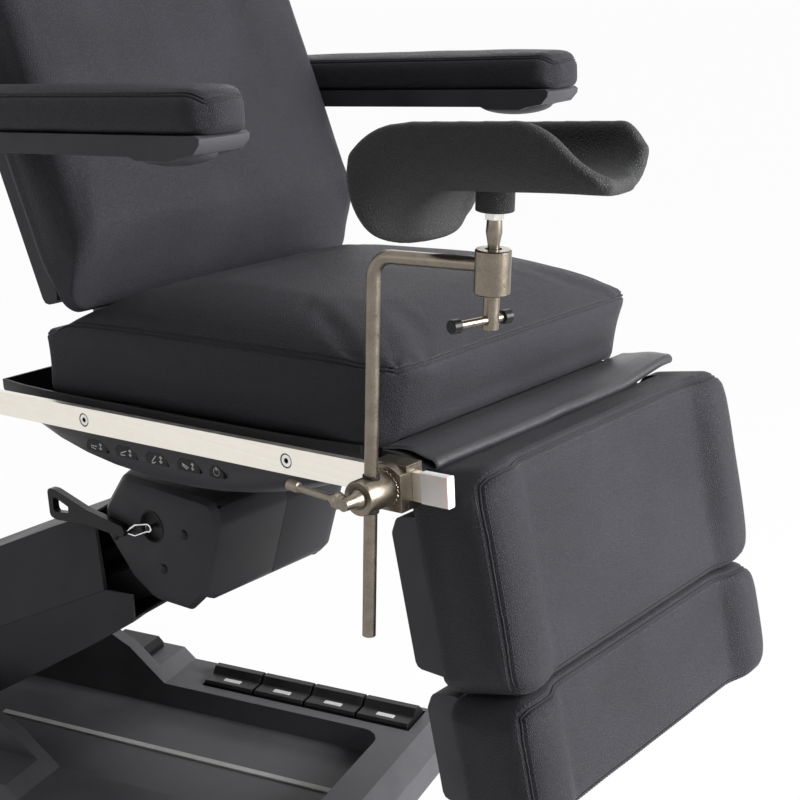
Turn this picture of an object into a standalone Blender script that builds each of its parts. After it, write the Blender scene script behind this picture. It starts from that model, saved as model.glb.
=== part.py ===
"""Powered examination table with a side rail and a leg holder.

Metres, +Z up. The seat heading is +X (foot end), the side with the rail is -Y, and the origin is on the floor
under the swivel axis. The base is turned under the seat, the seat is tilted, and the leg rest hangs down.
"""

import math

import bmesh
import bpy
from mathutils import Matrix, Vector

# Fits
GAP = 0.0003
RUN_FIT = 0.0004

# Pose of the sections at rest, in degrees
BASE_YAW = 15.0
SEAT_TILT = 3.7
BACK_LEAN = 20.2
LEG_LEAN = 9.4
ROD_LEAN = 5.0
BAR_TURN = 12.0

# Base
PLATE_LENGTH = 1.000
PLATE_WIDTH = 0.500
PLATE_THICK = 0.010
COVER_HEAD = 0.775
COVER_FOOT = 0.270
COVER_WIDTH = 0.540
DECK = 0.090
CHEEK_TOP = 0.195
CHEEK_OUT = 0.185
LEDGE = 0.110
WELL_WIDTH = 0.320
WELL_FOOT = 0.180
WELL_HEAD = 0.755
WELL_FLOOR = 0.045
TRIM_WIDTH = 0.012
TRIM_THICK = 0.003

# Foot pedals
PEDAL_COUNT = 4
PEDAL_PITCH = 0.103
PEDAL_LENGTH = 0.098
PEDAL_WIDTH = 0.069
PEDAL_HEIGHT = 0.036
PEDAL_HUMP = 0.012
PEDAL_ROW_X = 0.011
PEDAL_ROW_Y = 0.2215
PEDAL_AXIS_Z = 0.070
PEDAL_PLAY = 0.004
PEDAL_SHAFT_R = 0.004
STOP_PEDAL = (0.086, 0.066, 0.040)
STOP_PEDAL_X = -0.366
STOP_PEDAL_TRAVEL = 0.006

# Lift
ARM_FOOT_Z = 0.175
HEAD_PIVOT_Z = 0.465
ARM_REACH = 0.640
LINK_RISE = 0.060
SHAFT_R = 0.012
LINK_PIN_R = 0.008
BEAM_WIDTH = 0.090
BEAM_HEIGHT = 0.050
LINK_WIDTH = 0.024
LINK_HEIGHT = 0.018
EAR_IN = 0.050
EAR_THICK = 0.010
YOKE_LENGTH = 0.060
ARM_COVER_WIDTH = 0.230
ARM_RIDGE_WIDTH = 0.110
ARM_TONGUE_WIDTH = 0.160
ARM_TONGUE_LENGTH = 0.130
COVER_WALL = 0.005

# Turntable and housing
BEARING_R = 0.055
BEARING_BORE = 0.030
BEARING_HEIGHT = 0.016
TURNTABLE_THICK = 0.012
TILT_AXIS_Z = 0.690
TILT_EAR_IN = 0.050
COLUMN_LENGTH = 0.080
HOUSING_WIDTH = 0.300
HOUSING_CHEEK = 0.012
HOUSING_TOP = 0.612
HOUSING_LID = 0.010
LATCH_X = -0.035
LATCH_Z = 0.539
LATCH_R = 0.024
LATCH_DEPTH = 0.010
LATCH_POST_R = 0.004
LOCK_OFF = 0.0075
BAIL_WIRE_R = 0.0016
HANDLE_LENGTH = 0.185
HANDLE_THICK = 0.012
HANDLE_RISE = 0.008

# Seat, in the seat frame: origin at the front lower edge of the cushion
EDGE_AHEAD = 0.547
EDGE_ABOVE_TILT = 0.095
SEAT_WIDTH = 0.558
SEAT_LENGTH = 0.655
SEAT_SIDE = 0.102
SEAT_CROWN = 0.052
SEAT_FRONT_LEAN = 0.028
FRAME_THICK = 0.0356
FRAME_WIDTH = SEAT_WIDTH - 0.088
FRAME_MEMBER = 0.040
CENTRE_MEMBER = (0.070, 0.100)
SHROUD_HEAD = 0.755
SHROUD_FOOT = 0.045
SHROUD_WIDTH = SEAT_WIDTH + 0.018
SHROUD_DEPTH = 0.137
SHROUD_DEEPEST = 0.430
SHROUD_WALL = 0.004
TILT_LUG_R = 0.022

# Buttons
BUTTON_COUNT = 5
BUTTON_PITCH = 0.063
BUTTON_SIZE = (0.044, 0.017)
BUTTON_FIRST_X = -0.535
BUTTON_Z = -0.070

# Side rail
RAIL_HEIGHT = 0.035
RAIL_THICK = 0.010
RAIL_TOP = -0.005
RAIL_INNER = SEAT_WIDTH / 2 + 0.025
RAIL_HEAD = 0.720
RAIL_FOOT = 0.080
CAP_LENGTH = 0.039
CAP_GROW = 0.0015
SCREW_X = (-0.519, -0.133)
SCREW_HEAD_R = 0.0095
SPACER_R = 0.007

# Back
BACK_PIVOT = (-0.612, -0.022)
PIVOT_R = 0.010
BACK_FRONT = 0.182
BACK_THICK = 0.125
BACK_LOW = 0.114
BACK_LENGTH = 0.780
BACK_WIDTH = SEAT_WIDTH - 0.002
BACK_SHELL = 0.035
HINGE_PLATE_Y = 0.150
HINGE_PLATE_THICK = 0.012

# Armrests
ARMREST_LENGTH = 0.603
ARMREST_WIDTH = 0.090
ARMREST_INNER = SEAT_WIDTH / 2 + 0.031
ARMREST_LOW = 0.355
ARMREST_TOP = 0.432
ARMREST_SHELL = 0.026
ARMREST_PIN_R = 0.009
ARMREST_PIVOT_Z = 0.408

# Leg rest
LEG_PIVOT = (0.018, -0.022)
LEG_REAR = 0.016
LEG_FRONT = 0.143
LEG_DISH = 0.022
LEG_BOLSTER = 0.085
LEG_WIDTH = SEAT_WIDTH + 0.028
LEG_TOP = -0.008
LEG_UPPER = 0.265
LEG_SPLIT = 0.012
LEG_LOWER = 0.160
LEG_SHELL = 0.056
LEG_SHELL_WIDTH = LEG_WIDTH - 0.066
LEG_PLATE = 0.0055
LEG_KNUCKLE = 0.050
LEG_KNUCKLE_PLAY = 0.005
SLIDE_BAR_R = 0.009
SLIDE_BAR_Y = 0.120

# Flap
FLAP_REACH = 0.074
FLAP_THICK = 0.014
FLAP_WIDTH = SEAT_WIDTH - 0.006

# Leg holder
CLAMP_X = 0.042
CLAMP_WIDTH = 0.050
JAW_WALL = 0.009
FRONT_JAW_THICK = 0.012
SLEEVE_R = 0.021
SLEEVE_LENGTH = 0.046
SLEEVE_BORE = 0.0125
ROD_R = 0.008
BUSH_WALL = 0.0017
ROD_DOWN = 0.178
ROD_UP = 0.279
ROD_REACH = 0.158
ROD_BEND = 0.027
RUN_RISE = 5.0
BARREL_R = 0.019
BARREL_BELOW = 0.030
BARREL_ABOVE = 0.017
BALL_R = 0.0125
STUD_LENGTH = 0.063
NUT_R = 0.0105
BOSS_R = 0.020
BOSS_HEIGHT = 0.022
TEE_R = 0.0085
TEE_LENGTH = 0.038
BAR_R = 0.0045
BAR_LENGTH = 0.082
BAR_SHIFT = 0.014
BAR_CAP_R = 0.0075
LEVER_LENGTH = 0.074
LEVER_R = 0.0045
CRUTCH_FLAT = 0.190
CRUTCH_BEND_X = -0.055
CRUTCH_BEND = 75.0
CRUTCH_BEND_R = 0.055
CRUTCH_TIP = 0.020
CRUTCH_WIDTH = 0.158
CRUTCH_THICK = 0.016
CRUTCH_WALL = 0.070
CRUTCH_YAW = 12.0
CRUTCH_RISE = 4.3

FINISHES = {
    "vinyl": ((0.035, 0.035, 0.042), 0.48, 0.0),
    "shell_plastic": ((0.030, 0.030, 0.034), 0.55, 0.0),
    "black_plastic": ((0.010, 0.010, 0.011), 0.45, 0.0),
    "pale_trim": ((0.55, 0.55, 0.56), 0.40, 0.0),
    "frosted_cap": ((0.80, 0.80, 0.78), 0.45, 0.0),
    "steel": ((0.35, 0.35, 0.36), 0.40, 1.0),
    "satin_rail": ((0.66, 0.62, 0.55), 0.32, 1.0),
    "bronze_nickel": ((0.33, 0.28, 0.22), 0.34, 1.0),
    "chrome": ((0.75, 0.75, 0.76), 0.12, 1.0),
}


def clear_scene():
    for obj in list(bpy.data.objects):
        bpy.data.objects.remove(obj, do_unlink=True)


def make_finishes():
    made = {}
    for name, (colour, roughness, metallic) in FINISHES.items():
        mat = bpy.data.materials.new(name)
        mat.use_nodes = True
        shader = mat.node_tree.nodes["Principled BSDF"]
        shader.inputs["Base Color"].default_value = (*colour, 1.0)
        shader.inputs["Roughness"].default_value = roughness
        shader.inputs["Metallic"].default_value = metallic
        made[name] = mat
    return made


def joint(name, parent, at, turn_y=0.0, turn_z=0.0):
    """An empty on a joint or datum, turned about Y or Z by degrees."""
    empty = bpy.data.objects.new(name, None)
    bpy.context.scene.collection.objects.link(empty)
    empty.parent = parent
    empty.location = at
    empty.rotation_euler = (0.0, math.radians(turn_y), math.radians(turn_z))
    return empty


def solid(name, bm, finish, parent, at=(0.0, 0.0, 0.0)):
    """A named object from a closed bmesh."""
    bmesh.ops.recalc_face_normals(bm, faces=bm.faces)
    mesh = bpy.data.meshes.new(name)
    bm.to_mesh(mesh)
    bm.free()
    mesh.materials.append(MATERIALS[finish])
    mesh.shade_smooth()
    mesh.set_sharp_from_angle(angle=math.radians(35))
    obj = bpy.data.objects.new(name, mesh)
    bpy.context.scene.collection.objects.link(obj)
    obj.parent = parent
    obj.location = at
    return obj


def boolean(obj, bm, operation):
    """Cuts a closed bmesh from an object, or joins it on. The tool shape is in the object's own place."""
    tool = solid(f"{obj.name}_tool{len(obj.modifiers)}", bm, "steel", obj.parent, obj.location)
    tool.hide_render = True
    tool.display_type = "WIRE"
    modifier = obj.modifiers.new(operation.lower(), "BOOLEAN")
    modifier.operation = operation
    modifier.solver = "EXACT"
    modifier.object = tool


def cut(obj, bm):
    boolean(obj, bm, "DIFFERENCE")


def fuse(obj, bm):
    boolean(obj, bm, "UNION")


def rounded(points, radius, steps=4):
    """An outline with its corners turned to arcs. A fillet is limited by the edges that it joins."""
    out = []
    count = len(points)
    for i, point in enumerate(points):
        here = Vector(point)
        before = Vector(points[i - 1]) - here
        after = Vector(points[(i + 1) % count]) - here
        half = before.angle(after) / 2
        reach = min(radius / math.tan(half), 0.49 * before.length, 0.49 * after.length)
        centre = here + (before.normalized() + after.normalized()).normalized() * (reach / math.cos(half))
        start = here + before.normalized() * reach - centre
        end = here + after.normalized() * reach - centre
        size = start.length
        for k in range(steps + 1):
            spoke = start.lerp(end, k / steps)
            out.append(tuple(centre + spoke.normalized() * size))
    return out


PLANES = {"X": lambda a, b, d: (d, a, b), "Y": lambda a, b, d: (a, d, b), "Z": lambda a, b, d: (a, b, d)}


def loft(rings, closed=False):
    """A skin over rings of as many points each, capped at its ends or joined end to end."""
    bm = bmesh.new()
    rows = [[bm.verts.new(point) for point in ring] for ring in rings]
    pairs = list(zip(rows, rows[1:]))
    if closed:
        pairs.append((rows[-1], rows[0]))
    for low, high in pairs:
        for i in range(len(low)):
            j = (i + 1) % len(low)
            bm.faces.new((low[i], low[j], high[j], high[i]))
    if not closed:
        bm.faces.new(rows[0])
        bm.faces.new(rows[-1])
    return bm


def prism(outline, low, high, axis):
    place = PLANES[axis]
    return loft([[place(a, b, d) for a, b in outline] for d in (low, high)])


def box(low, high):
    outline = [(low[0], low[1]), (high[0], low[1]), (high[0], high[1]), (low[0], high[1])]
    return prism(outline, low[2], high[2], "Z")


def several(shapes):
    """One bmesh that holds several closed shapes, for use as a tool."""
    whole = bmesh.new()
    for shape in shapes:
        mesh = bpy.data.meshes.new("part_of_tool")
        shape.to_mesh(mesh)
        shape.free()
        whole.from_mesh(mesh)
        bpy.data.meshes.remove(mesh)
    return whole


def turned(profile, axis="Z", centre=(0.0, 0.0, 0.0), steps=20):
    """A turned piece from (radius, height) points, along an axis through centre."""
    place = PLANES[axis]
    rings = []
    for radius, height in profile:
        ring = []
        for k in range(steps):
            angle = 2 * math.pi * k / steps
            spot = Vector(place(radius * math.cos(angle), radius * math.sin(angle), height))
            ring.append(spot + Vector(centre))
        rings.append(ring)
    return loft(rings)


def bar(radius, low, high, axis, centre=(0.0, 0.0, 0.0), steps=20):
    return turned([(radius, low), (radius, high)], axis, centre, steps)


def sweep(path, radius, steps=14):
    """A round rod along a path in the XZ plane."""
    rings = []
    points = [Vector(point) for point in path]
    for i, point in enumerate(points):
        ahead = points[min(i + 1, len(points) - 1)] - points[max(i - 1, 0)]
        side = Vector((0.0, 1.0, 0.0))
        across = ahead.normalized().cross(side)
        ring = []
        for k in range(steps):
            angle = 2 * math.pi * k / steps
            ring.append(point + radius * (math.cos(angle) * side + math.sin(angle) * across))
        rings.append(ring)
    return loft(rings)


def stops(half, radius, arcs, middles):
    """Grid places along one side of a rounded box, closer over the round edges."""
    flat = half - radius
    edge = [flat + radius * math.tan(math.pi / 4 * k / arcs) for k in range(arcs, 0, -1)]
    inner = [flat - 2 * flat * k / middles for k in range(middles + 1)]
    return [-place for place in edge] + inner[::-1] + edge[::-1]


def cushion(half, radius, middles, shape, arcs=2):
    """A padded form: a box with round edges on a grid, whose points are then moved by shape(x, y, z)."""
    grids = [stops(half[i], radius, arcs, middles[i]) for i in range(3)]
    last = [len(grid) - 1 for grid in grids]
    bm = bmesh.new()
    made = {}

    def vert(index):
        if index not in made:
            point = Vector([grids[i][index[i]] for i in range(3)])
            core = Vector([max(-(half[i] - radius), min(half[i] - radius, point[i])) for i in range(3)])
            made[index] = bm.verts.new(shape(core + (point - core).normalized() * radius))
        return made[index]

    for axis in range(3):
        first, second = (axis + 1) % 3, (axis + 2) % 3
        for side in (0, last[axis]):
            for i in range(last[first]):
                for j in range(last[second]):
                    corners = []
                    for di, dj in ((0, 0), (1, 0), (1, 1), (0, 1)):
                        index = [0, 0, 0]
                        index[axis], index[first], index[second] = side, i + di, j + dj
                        corners.append(vert(tuple(index)))
                    bm.faces.new(corners)
    return bm


def ease(value):
    """A smooth step from 0 to 1."""
    value = max(0.0, min(1.0, value))
    return value * value * (3 - 2 * value)


# Base

def build_base(base):
    plate_head = COVER_HEAD - (COVER_HEAD + COVER_FOOT - PLATE_LENGTH) / 2
    half = PLATE_WIDTH / 2
    outline = [(-plate_head, -half), (PLATE_LENGTH - plate_head, -half)]
    outline += [(PLATE_LENGTH - plate_head, half), (-plate_head, half)]
    solid("base_plate", prism(rounded(outline, 0.03), 0.0, PLATE_THICK, "Z"), "steel", base)
    build_base_cover(base)
    low = WELL_FLOOR + GAP
    trim = box((-0.52, TRIM_WIDTH, low), (WELL_FOOT - 0.016, 2 * TRIM_WIDTH, low + TRIM_THICK))
    solid("tray_trim", trim, "pale_trim", base)
    ear_out = EAR_IN + EAR_THICK
    foot = low + EAR_THICK
    top = ARM_FOOT_Z + LINK_RISE + 2 * SHAFT_R
    cup = [(-ear_out, low), (ear_out, low), (ear_out, top), (EAR_IN, top), (EAR_IN, foot)]
    cup += [(-EAR_IN, foot), (-EAR_IN, top), (-ear_out, top)]
    bracket = prism(cup, -ARM_REACH - YOKE_LENGTH / 2, -ARM_REACH + YOKE_LENGTH / 2, "X")
    bracket = solid("pivot_bracket", bracket, "steel", base)
    bores = [bar(SHAFT_R + GAP, -0.1, 0.1, "Y", (-ARM_REACH, 0, ARM_FOOT_Z))]
    bores.append(bar(LINK_PIN_R + GAP, -0.1, 0.1, "Y", (-ARM_REACH, 0, ARM_FOOT_Z + LINK_RISE)))
    cut(bracket, several(bores))
    shaft = bar(SHAFT_R, -ear_out, ear_out, "Y", (-ARM_REACH, 0, ARM_FOOT_Z))
    solid("arm_shaft", shaft, "steel", base)


def build_base_cover(base):
    low = PLATE_THICK + GAP
    half = COVER_WIDTH / 2
    side = [(-COVER_HEAD, low), (COVER_FOOT, low), (COVER_FOOT, DECK - 0.03), (COVER_FOOT - 0.03, DECK)]
    side += [(-0.262, DECK), (-0.335, 0.150), (-0.43, CHEEK_TOP), (0.075 - COVER_HEAD, CHEEK_TOP)]
    side += [(-COVER_HEAD, CHEEK_TOP - 0.075)]
    cover = solid("base_cover", prism(side, -half, half, "Y"), "shell_plastic", base)
    ledges = []
    for sign in (-1, 1):
        inner, outer = sorted((sign * CHEEK_OUT, sign * 2 * half))
        ledges.append(box((-2 * COVER_HEAD, inner, LEDGE), (0, outer, 1)))
    cut(cover, several(ledges))
    well = WELL_WIDTH / 2
    outline = [(-WELL_HEAD, -well), (WELL_FOOT, -well), (WELL_FOOT, well), (-WELL_HEAD, well)]
    cut(cover, prism(rounded(outline, 0.035), WELL_FLOOR, 1, "Z"))
    long_side = PEDAL_COUNT * PEDAL_PITCH / 2 + PEDAL_PLAY / 2
    wide = PEDAL_WIDTH / 2 + PEDAL_PLAY
    deep = PEDAL_AXIS_Z - 0.015
    row = (PEDAL_ROW_X, PEDAL_ROW_Y)
    pocket = box((row[0] - long_side, row[1] - wide, deep), (row[0] + long_side, row[1] + wide, 1))
    stop = [size / 2 + RUN_FIT for size in STOP_PEDAL[:2]]
    floor = LEDGE - STOP_PEDAL[2] / 2 - STOP_PEDAL_TRAVEL
    spot = (STOP_PEDAL_X, PEDAL_ROW_Y)
    pit = box((spot[0] - stop[0], spot[1] - stop[1], floor), (spot[0] + stop[0], spot[1] + stop[1], 1))
    cut(cover, several([pocket, pit]))


def build_pedals(base):
    long_side = PEDAL_COUNT * PEDAL_PITCH / 2 + PEDAL_PLAY / 2 - GAP
    shaft = bar(PEDAL_SHAFT_R, -long_side, long_side, "X", steps=12)
    solid("pedal_shaft", shaft, "steel", base, (PEDAL_ROW_X, PEDAL_ROW_Y, PEDAL_AXIS_Z))
    half = PEDAL_WIDTH / 2
    low = -0.008
    top = low + PEDAL_HEIGHT
    section = [(-half, low), (half, low), (half, top - 0.004), (half - 0.016, top + PEDAL_HUMP)]
    section += [(0.006, top + PEDAL_HUMP), (-0.004, top), (-half + 0.004, top), (-half, top - 0.004)]
    for i in range(PEDAL_COUNT):
        x = PEDAL_ROW_X + (i - (PEDAL_COUNT - 1) / 2) * PEDAL_PITCH
        pivot = joint(f"pedal_joint_{i + 1}", base, (x, PEDAL_ROW_Y, PEDAL_AXIS_Z))
        pedal = prism(section, -PEDAL_LENGTH / 2, PEDAL_LENGTH / 2, "X")
        pedal = solid(f"foot_pedal_{i + 1}", pedal, "black_plastic", pivot)
        cut(pedal, bar(PEDAL_SHAFT_R + GAP, -PEDAL_LENGTH, PEDAL_LENGTH, "X", steps=12))
    length, width, height = STOP_PEDAL
    pivot = joint("stop_pedal_joint", base, (STOP_PEDAL_X, PEDAL_ROW_Y, LEDGE))
    outline = [(-length / 2, -height / 2), (length / 2, -height / 2), (length / 2, height / 2 - 0.01)]
    outline += [(length / 2 - 0.01, height / 2), (-length / 2, height / 2)]
    solid("stop_pedal", prism(outline, -width / 2, width / 2, "Y"), "black_plastic", pivot)


# Lift

def build_lift(base):
    length = math.hypot(ARM_REACH, HEAD_PIVOT_Z - ARM_FOOT_Z)
    rise = math.degrees(math.atan2(HEAD_PIVOT_Z - ARM_FOOT_Z, ARM_REACH))
    arm = joint("lift_joint", base, (-ARM_REACH, 0, ARM_FOOT_Z), -rise)
    end = BEAM_HEIGHT / 2
    outline = [(-end, -end), (length + end, -end), (length + end, end), (-end, end)]
    beam = prism(rounded(outline, 0.96 * end, 6), -BEAM_WIDTH / 2, BEAM_WIDTH / 2, "Y")
    beam = solid("lift_beam", beam, "steel", arm)
    cut(beam, bar(SHAFT_R + GAP, -0.1, 0.1, "Y"))
    yoke_out = EAR_IN + EAR_THICK
    fuse(beam, bar(SHAFT_R, -yoke_out, yoke_out, "Y", (length, 0, 0)))
    build_arm_covers(base)
    link = joint("link_joint", base, (-ARM_REACH, 0, ARM_FOOT_Z + LINK_RISE), -rise)
    end = LINK_HEIGHT / 2
    strap = box((-end, -LINK_WIDTH / 2, -end), (length + end, LINK_WIDTH / 2, end))
    strap = solid("parallel_link", strap, "steel", link)
    for x in (0.0, length):
        fuse(strap, bar(LINK_PIN_R, -yoke_out, yoke_out, "Y", (x, 0, 0), 14))
    build_lift_head(base)


def build_arm_covers(base):
    """Two covers over the beam: a channel with the side panels, and a hood with leaning shoulders."""
    arm = joint("arm_cover_joint", base, (-ARM_REACH, 0, ARM_FOOT_Z))
    place = (ARM_REACH, 0, -ARM_FOOT_Z)
    half = ARM_COVER_WIDTH / 2
    wall = COVER_WALL
    top = [(-0.700, 0.150), (-0.323, 0.335), (-0.182, 0.404), (-0.034, 0.404)]
    belly = [(-0.034, 0.398), (-0.086, 0.389), (-0.202, 0.309)]
    belly += [(-0.332, 0.225), (-0.540, 0.094), (-0.690, 0.094)]
    lower = solid("arm_cover_lower", prism(top + belly, -half, half, "Y"), "shell_plastic", arm, place)
    room = [(-0.025, 0.6), (-0.025, 0.4036), (-0.086, 0.389 + wall), (-0.202, 0.309 + wall)]
    room += [(-0.332, 0.225 + wall), (-0.520, 0.112), (-0.520, -0.1), (-0.9, -0.1), (-0.9, 0.6)]
    cut(lower, prism(room, wall - half, half - wall, "Y"))
    # Under the head the cover narrows to a tongue, so that the housing can turn over it.
    sides = []
    for sign in (-1, 1):
        low, high = sorted((sign * ARM_TONGUE_WIDTH / 2, sign * ARM_COVER_WIDTH))
        sides.append(box((-ARM_TONGUE_LENGTH, low, 0), (1, high, 1)))
    cut(lower, several(sides))
    # A rib on the web carries the cover on the beam.
    slope = (HEAD_PIVOT_Z - ARM_FOOT_Z) / ARM_REACH
    under = ARM_FOOT_Z - (BEAM_HEIGHT / 2 + GAP) * math.hypot(1, slope)
    rib = [(-0.30, 0.247), (-0.25, 0.279)]
    rib += [(x, under + slope * (x + ARM_REACH)) for x in (-0.25, -0.30)]
    fuse(lower, prism(rib, -BEAM_WIDTH / 2, BEAM_WIDTH / 2, "Y"))
    # Over the panel line the hood leans in to a narrow ridge.
    foot = [(-0.560, 0.2190), (-0.323, 0.3353), (-0.184, 0.4035)]
    ridge = [(-0.552, 0.360), (-0.340, 0.461), (-0.240, 0.5075)]
    narrow = ARM_RIDGE_WIDTH / 2
    rings = []
    for (x0, z0), (x1, z1) in zip(foot, ridge):
        rings.append([(x0, -half, z0), (x1, -narrow, z1), (x1, narrow, z1), (x0, half, z0)])
    hood = solid("arm_cover_upper", loft(rings), "shell_plastic", arm, place)
    rings = []
    for row, ((x0, z0), (x1, z1)) in enumerate(zip(foot, ridge)):
        shift = 0.06 * (row - 1)
        rise = 0.5 * shift
        edge = (half - wall, z0 - 0.012 + rise)
        top = (narrow - 0.6 * wall, z1 - wall + rise)
        ring = [(x0 + shift, -edge[0], edge[1]), (x1 + shift, -top[0], top[1])]
        rings.append(ring + [(x1 + shift, top[0], top[1]), (x0 + shift, edge[0], edge[1])])
    cut(hood, loft(rings))


def build_lift_head(base):
    head = joint("head_joint", base, (0, 0, HEAD_PIVOT_Z))
    ear_out = EAR_IN + EAR_THICK
    top = LINK_RISE + 0.030
    low = -BEAM_HEIGHT / 2
    cap = top + EAR_THICK
    cup = [(-ear_out, low), (-EAR_IN, low), (-EAR_IN, top), (EAR_IN, top), (EAR_IN, low), (ear_out, low)]
    cup += [(ear_out, cap), (-ear_out, cap)]
    yoke = solid("head_yoke", prism(cup, -YOKE_LENGTH / 2, YOKE_LENGTH / 2, "X"), "steel", head)
    bores = [bar(SHAFT_R + GAP, -0.1, 0.1, "Y"), bar(LINK_PIN_R + GAP, -0.1, 0.1, "Y", (0, 0, LINK_RISE), 14)]
    cut(yoke, several(bores))
    low = cap + GAP
    ring = solid("swivel_bearing", bar(BEARING_R, low, low + BEARING_HEIGHT, "Z", steps=28), "steel", head)
    cut(ring, bar(BEARING_BORE, 0, 1, "Z"))


# Turntable, housing and swivel lock

def turntable_low():
    return HEAD_PIVOT_Z + LINK_RISE + 0.030 + EAR_THICK + BEARING_HEIGHT + 2 * GAP


def build_turntable(swivel):
    low = turntable_low()
    ear_out = TILT_EAR_IN + EAR_THICK
    top = TILT_AXIS_Z + TILT_LUG_R
    foot = low + TURNTABLE_THICK
    cup = [(-ear_out, low), (ear_out, low), (ear_out, top), (TILT_EAR_IN, top), (TILT_EAR_IN, foot)]
    cup += [(-TILT_EAR_IN, foot), (-TILT_EAR_IN, top), (-ear_out, top)]
    half = COLUMN_LENGTH / 2
    column = solid("turntable", prism(cup, -half, half, "X"), "steel", swivel)
    fuse(column, bar(SHAFT_R, -CENTRE_MEMBER[1], CENTRE_MEMBER[1], "Y", (0, 0, TILT_AXIS_Z)))
    build_housing(swivel)


def housing_outline():
    corners = [(-0.110, HOUSING_TOP), (-0.158, 0.545), (-0.158, 0.500), (-0.095, 0.434), (-0.045, 0.408)]
    corners += [(0.040, 0.412), (0.074, 0.445), (0.112, 0.575), (0.108, HOUSING_TOP)]
    return rounded(corners, 0.022, 3)


def build_housing(swivel):
    """Two moulded halves with soft outer edges, open below and towards the arm."""
    outline = housing_outline()
    middle = Vector((-0.020, 0.515))
    half = HOUSING_WIDTH / 2
    soft = [(0.0, 0.80), (0.0035, 0.89), (0.012, 0.96), (0.030, 1.0)]
    column = COLUMN_LENGTH / 2 + GAP
    ear_out = TILT_EAR_IN + EAR_THICK + GAP
    for name, sign in (("housing_near", -1), ("housing_far", 1)):
        rings = []
        for inset, scale in soft + [(half - GAP, 1.0)]:
            ring = [middle + (Vector(point) - middle) * scale for point in outline]
            rings.append([(x, sign * (half - inset), z) for x, z in ring])
        shell = solid(name, loft(rings), "shell_plastic", swivel)
        lid = HOUSING_TOP - HOUSING_LID
        room = [(-0.30, 0.30), (0.034, 0.30), (0.0665, 0.440), (0.104, 0.565), (0.102, lid), (-0.30, lid)]
        inside = HOUSING_WIDTH / 2 - HOUSING_CHEEK
        cut(shell, prism(room, -inside, inside, "Y"))
        cut(shell, box((-column, -ear_out, 0.5), (column, ear_out, 0.7)))
        if sign < 0:
            spot = (LATCH_X, 0, LATCH_Z)
            cut(shell, bar(LATCH_R, -half - 0.01, LATCH_DEPTH - half, "Y", spot))
            tip = -half - LOCK_OFF - 0.003
            fuse(shell, bar(LATCH_POST_R, tip, LATCH_DEPTH + 0.002 - half, "Y", spot, 12))


def build_swivel_lock(swivel):
    """A wire bail hooked round the latch post, and the pull handle on its ends."""
    pivot = joint("lock_joint", swivel, (LATCH_X, -HOUSING_WIDTH / 2 - LOCK_OFF, LATCH_Z))
    loop = LATCH_POST_R + BAIL_WIRE_R + GAP
    reach = 0.050
    drop = -0.019
    spread = 0.009
    path = []
    for k in range(9):
        angle = math.radians(-100 + 200 * k / 8)
        path.append((loop * math.cos(angle), 0, loop * math.sin(angle)))
    path = [(-0.6 * reach, 0, 0.6 * drop - spread)] + path + [(-0.6 * reach, 0, 0.6 * drop + spread)]
    path = [(-reach, 0, drop - 0.002)] + path + [(-reach, 0, drop + 0.002)]
    solid("wire_bail", sweep(path, BAIL_WIRE_R, 8), "chrome", pivot)
    thick = HANDLE_THICK / 2
    near = -reach - 0.0008
    far = near - HANDLE_LENGTH
    outline = [(near, drop - 0.009), (near, drop + 0.009), (near - 0.09, drop + 0.013)]
    outline += [(far + 0.02, drop + 0.026), (far, drop + 0.024), (far + 0.004, drop - 0.024)]
    outline += [(far + 0.02, drop - 0.026), (near - 0.09, drop - 0.013)]
    hole = [(far + 0.013, drop + 0.014), (far + 0.014, drop - 0.014), (far + 0.075, drop)]
    # The grip rises a little towards its free end.
    slope = HANDLE_RISE / HANDLE_LENGTH
    outline = [(x, z + slope * (near - x)) for x, z in outline]
    hole = [(x, z + slope * (near - x)) for x, z in hole]
    grip = prism(rounded(outline, 0.008, 3), -thick, thick, "Y")
    grip = solid("lock_handle", grip, "black_plastic", pivot)
    cut(grip, prism(rounded(hole, 0.006, 3), -0.1, 0.1, "Y"))


# Seat

def build_seat(seat):
    build_seat_frame(seat)
    build_shroud(seat)
    build_seat_cushion(seat)
    build_rail(seat)
    build_buttons(seat)
    build_flap(seat)


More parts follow.
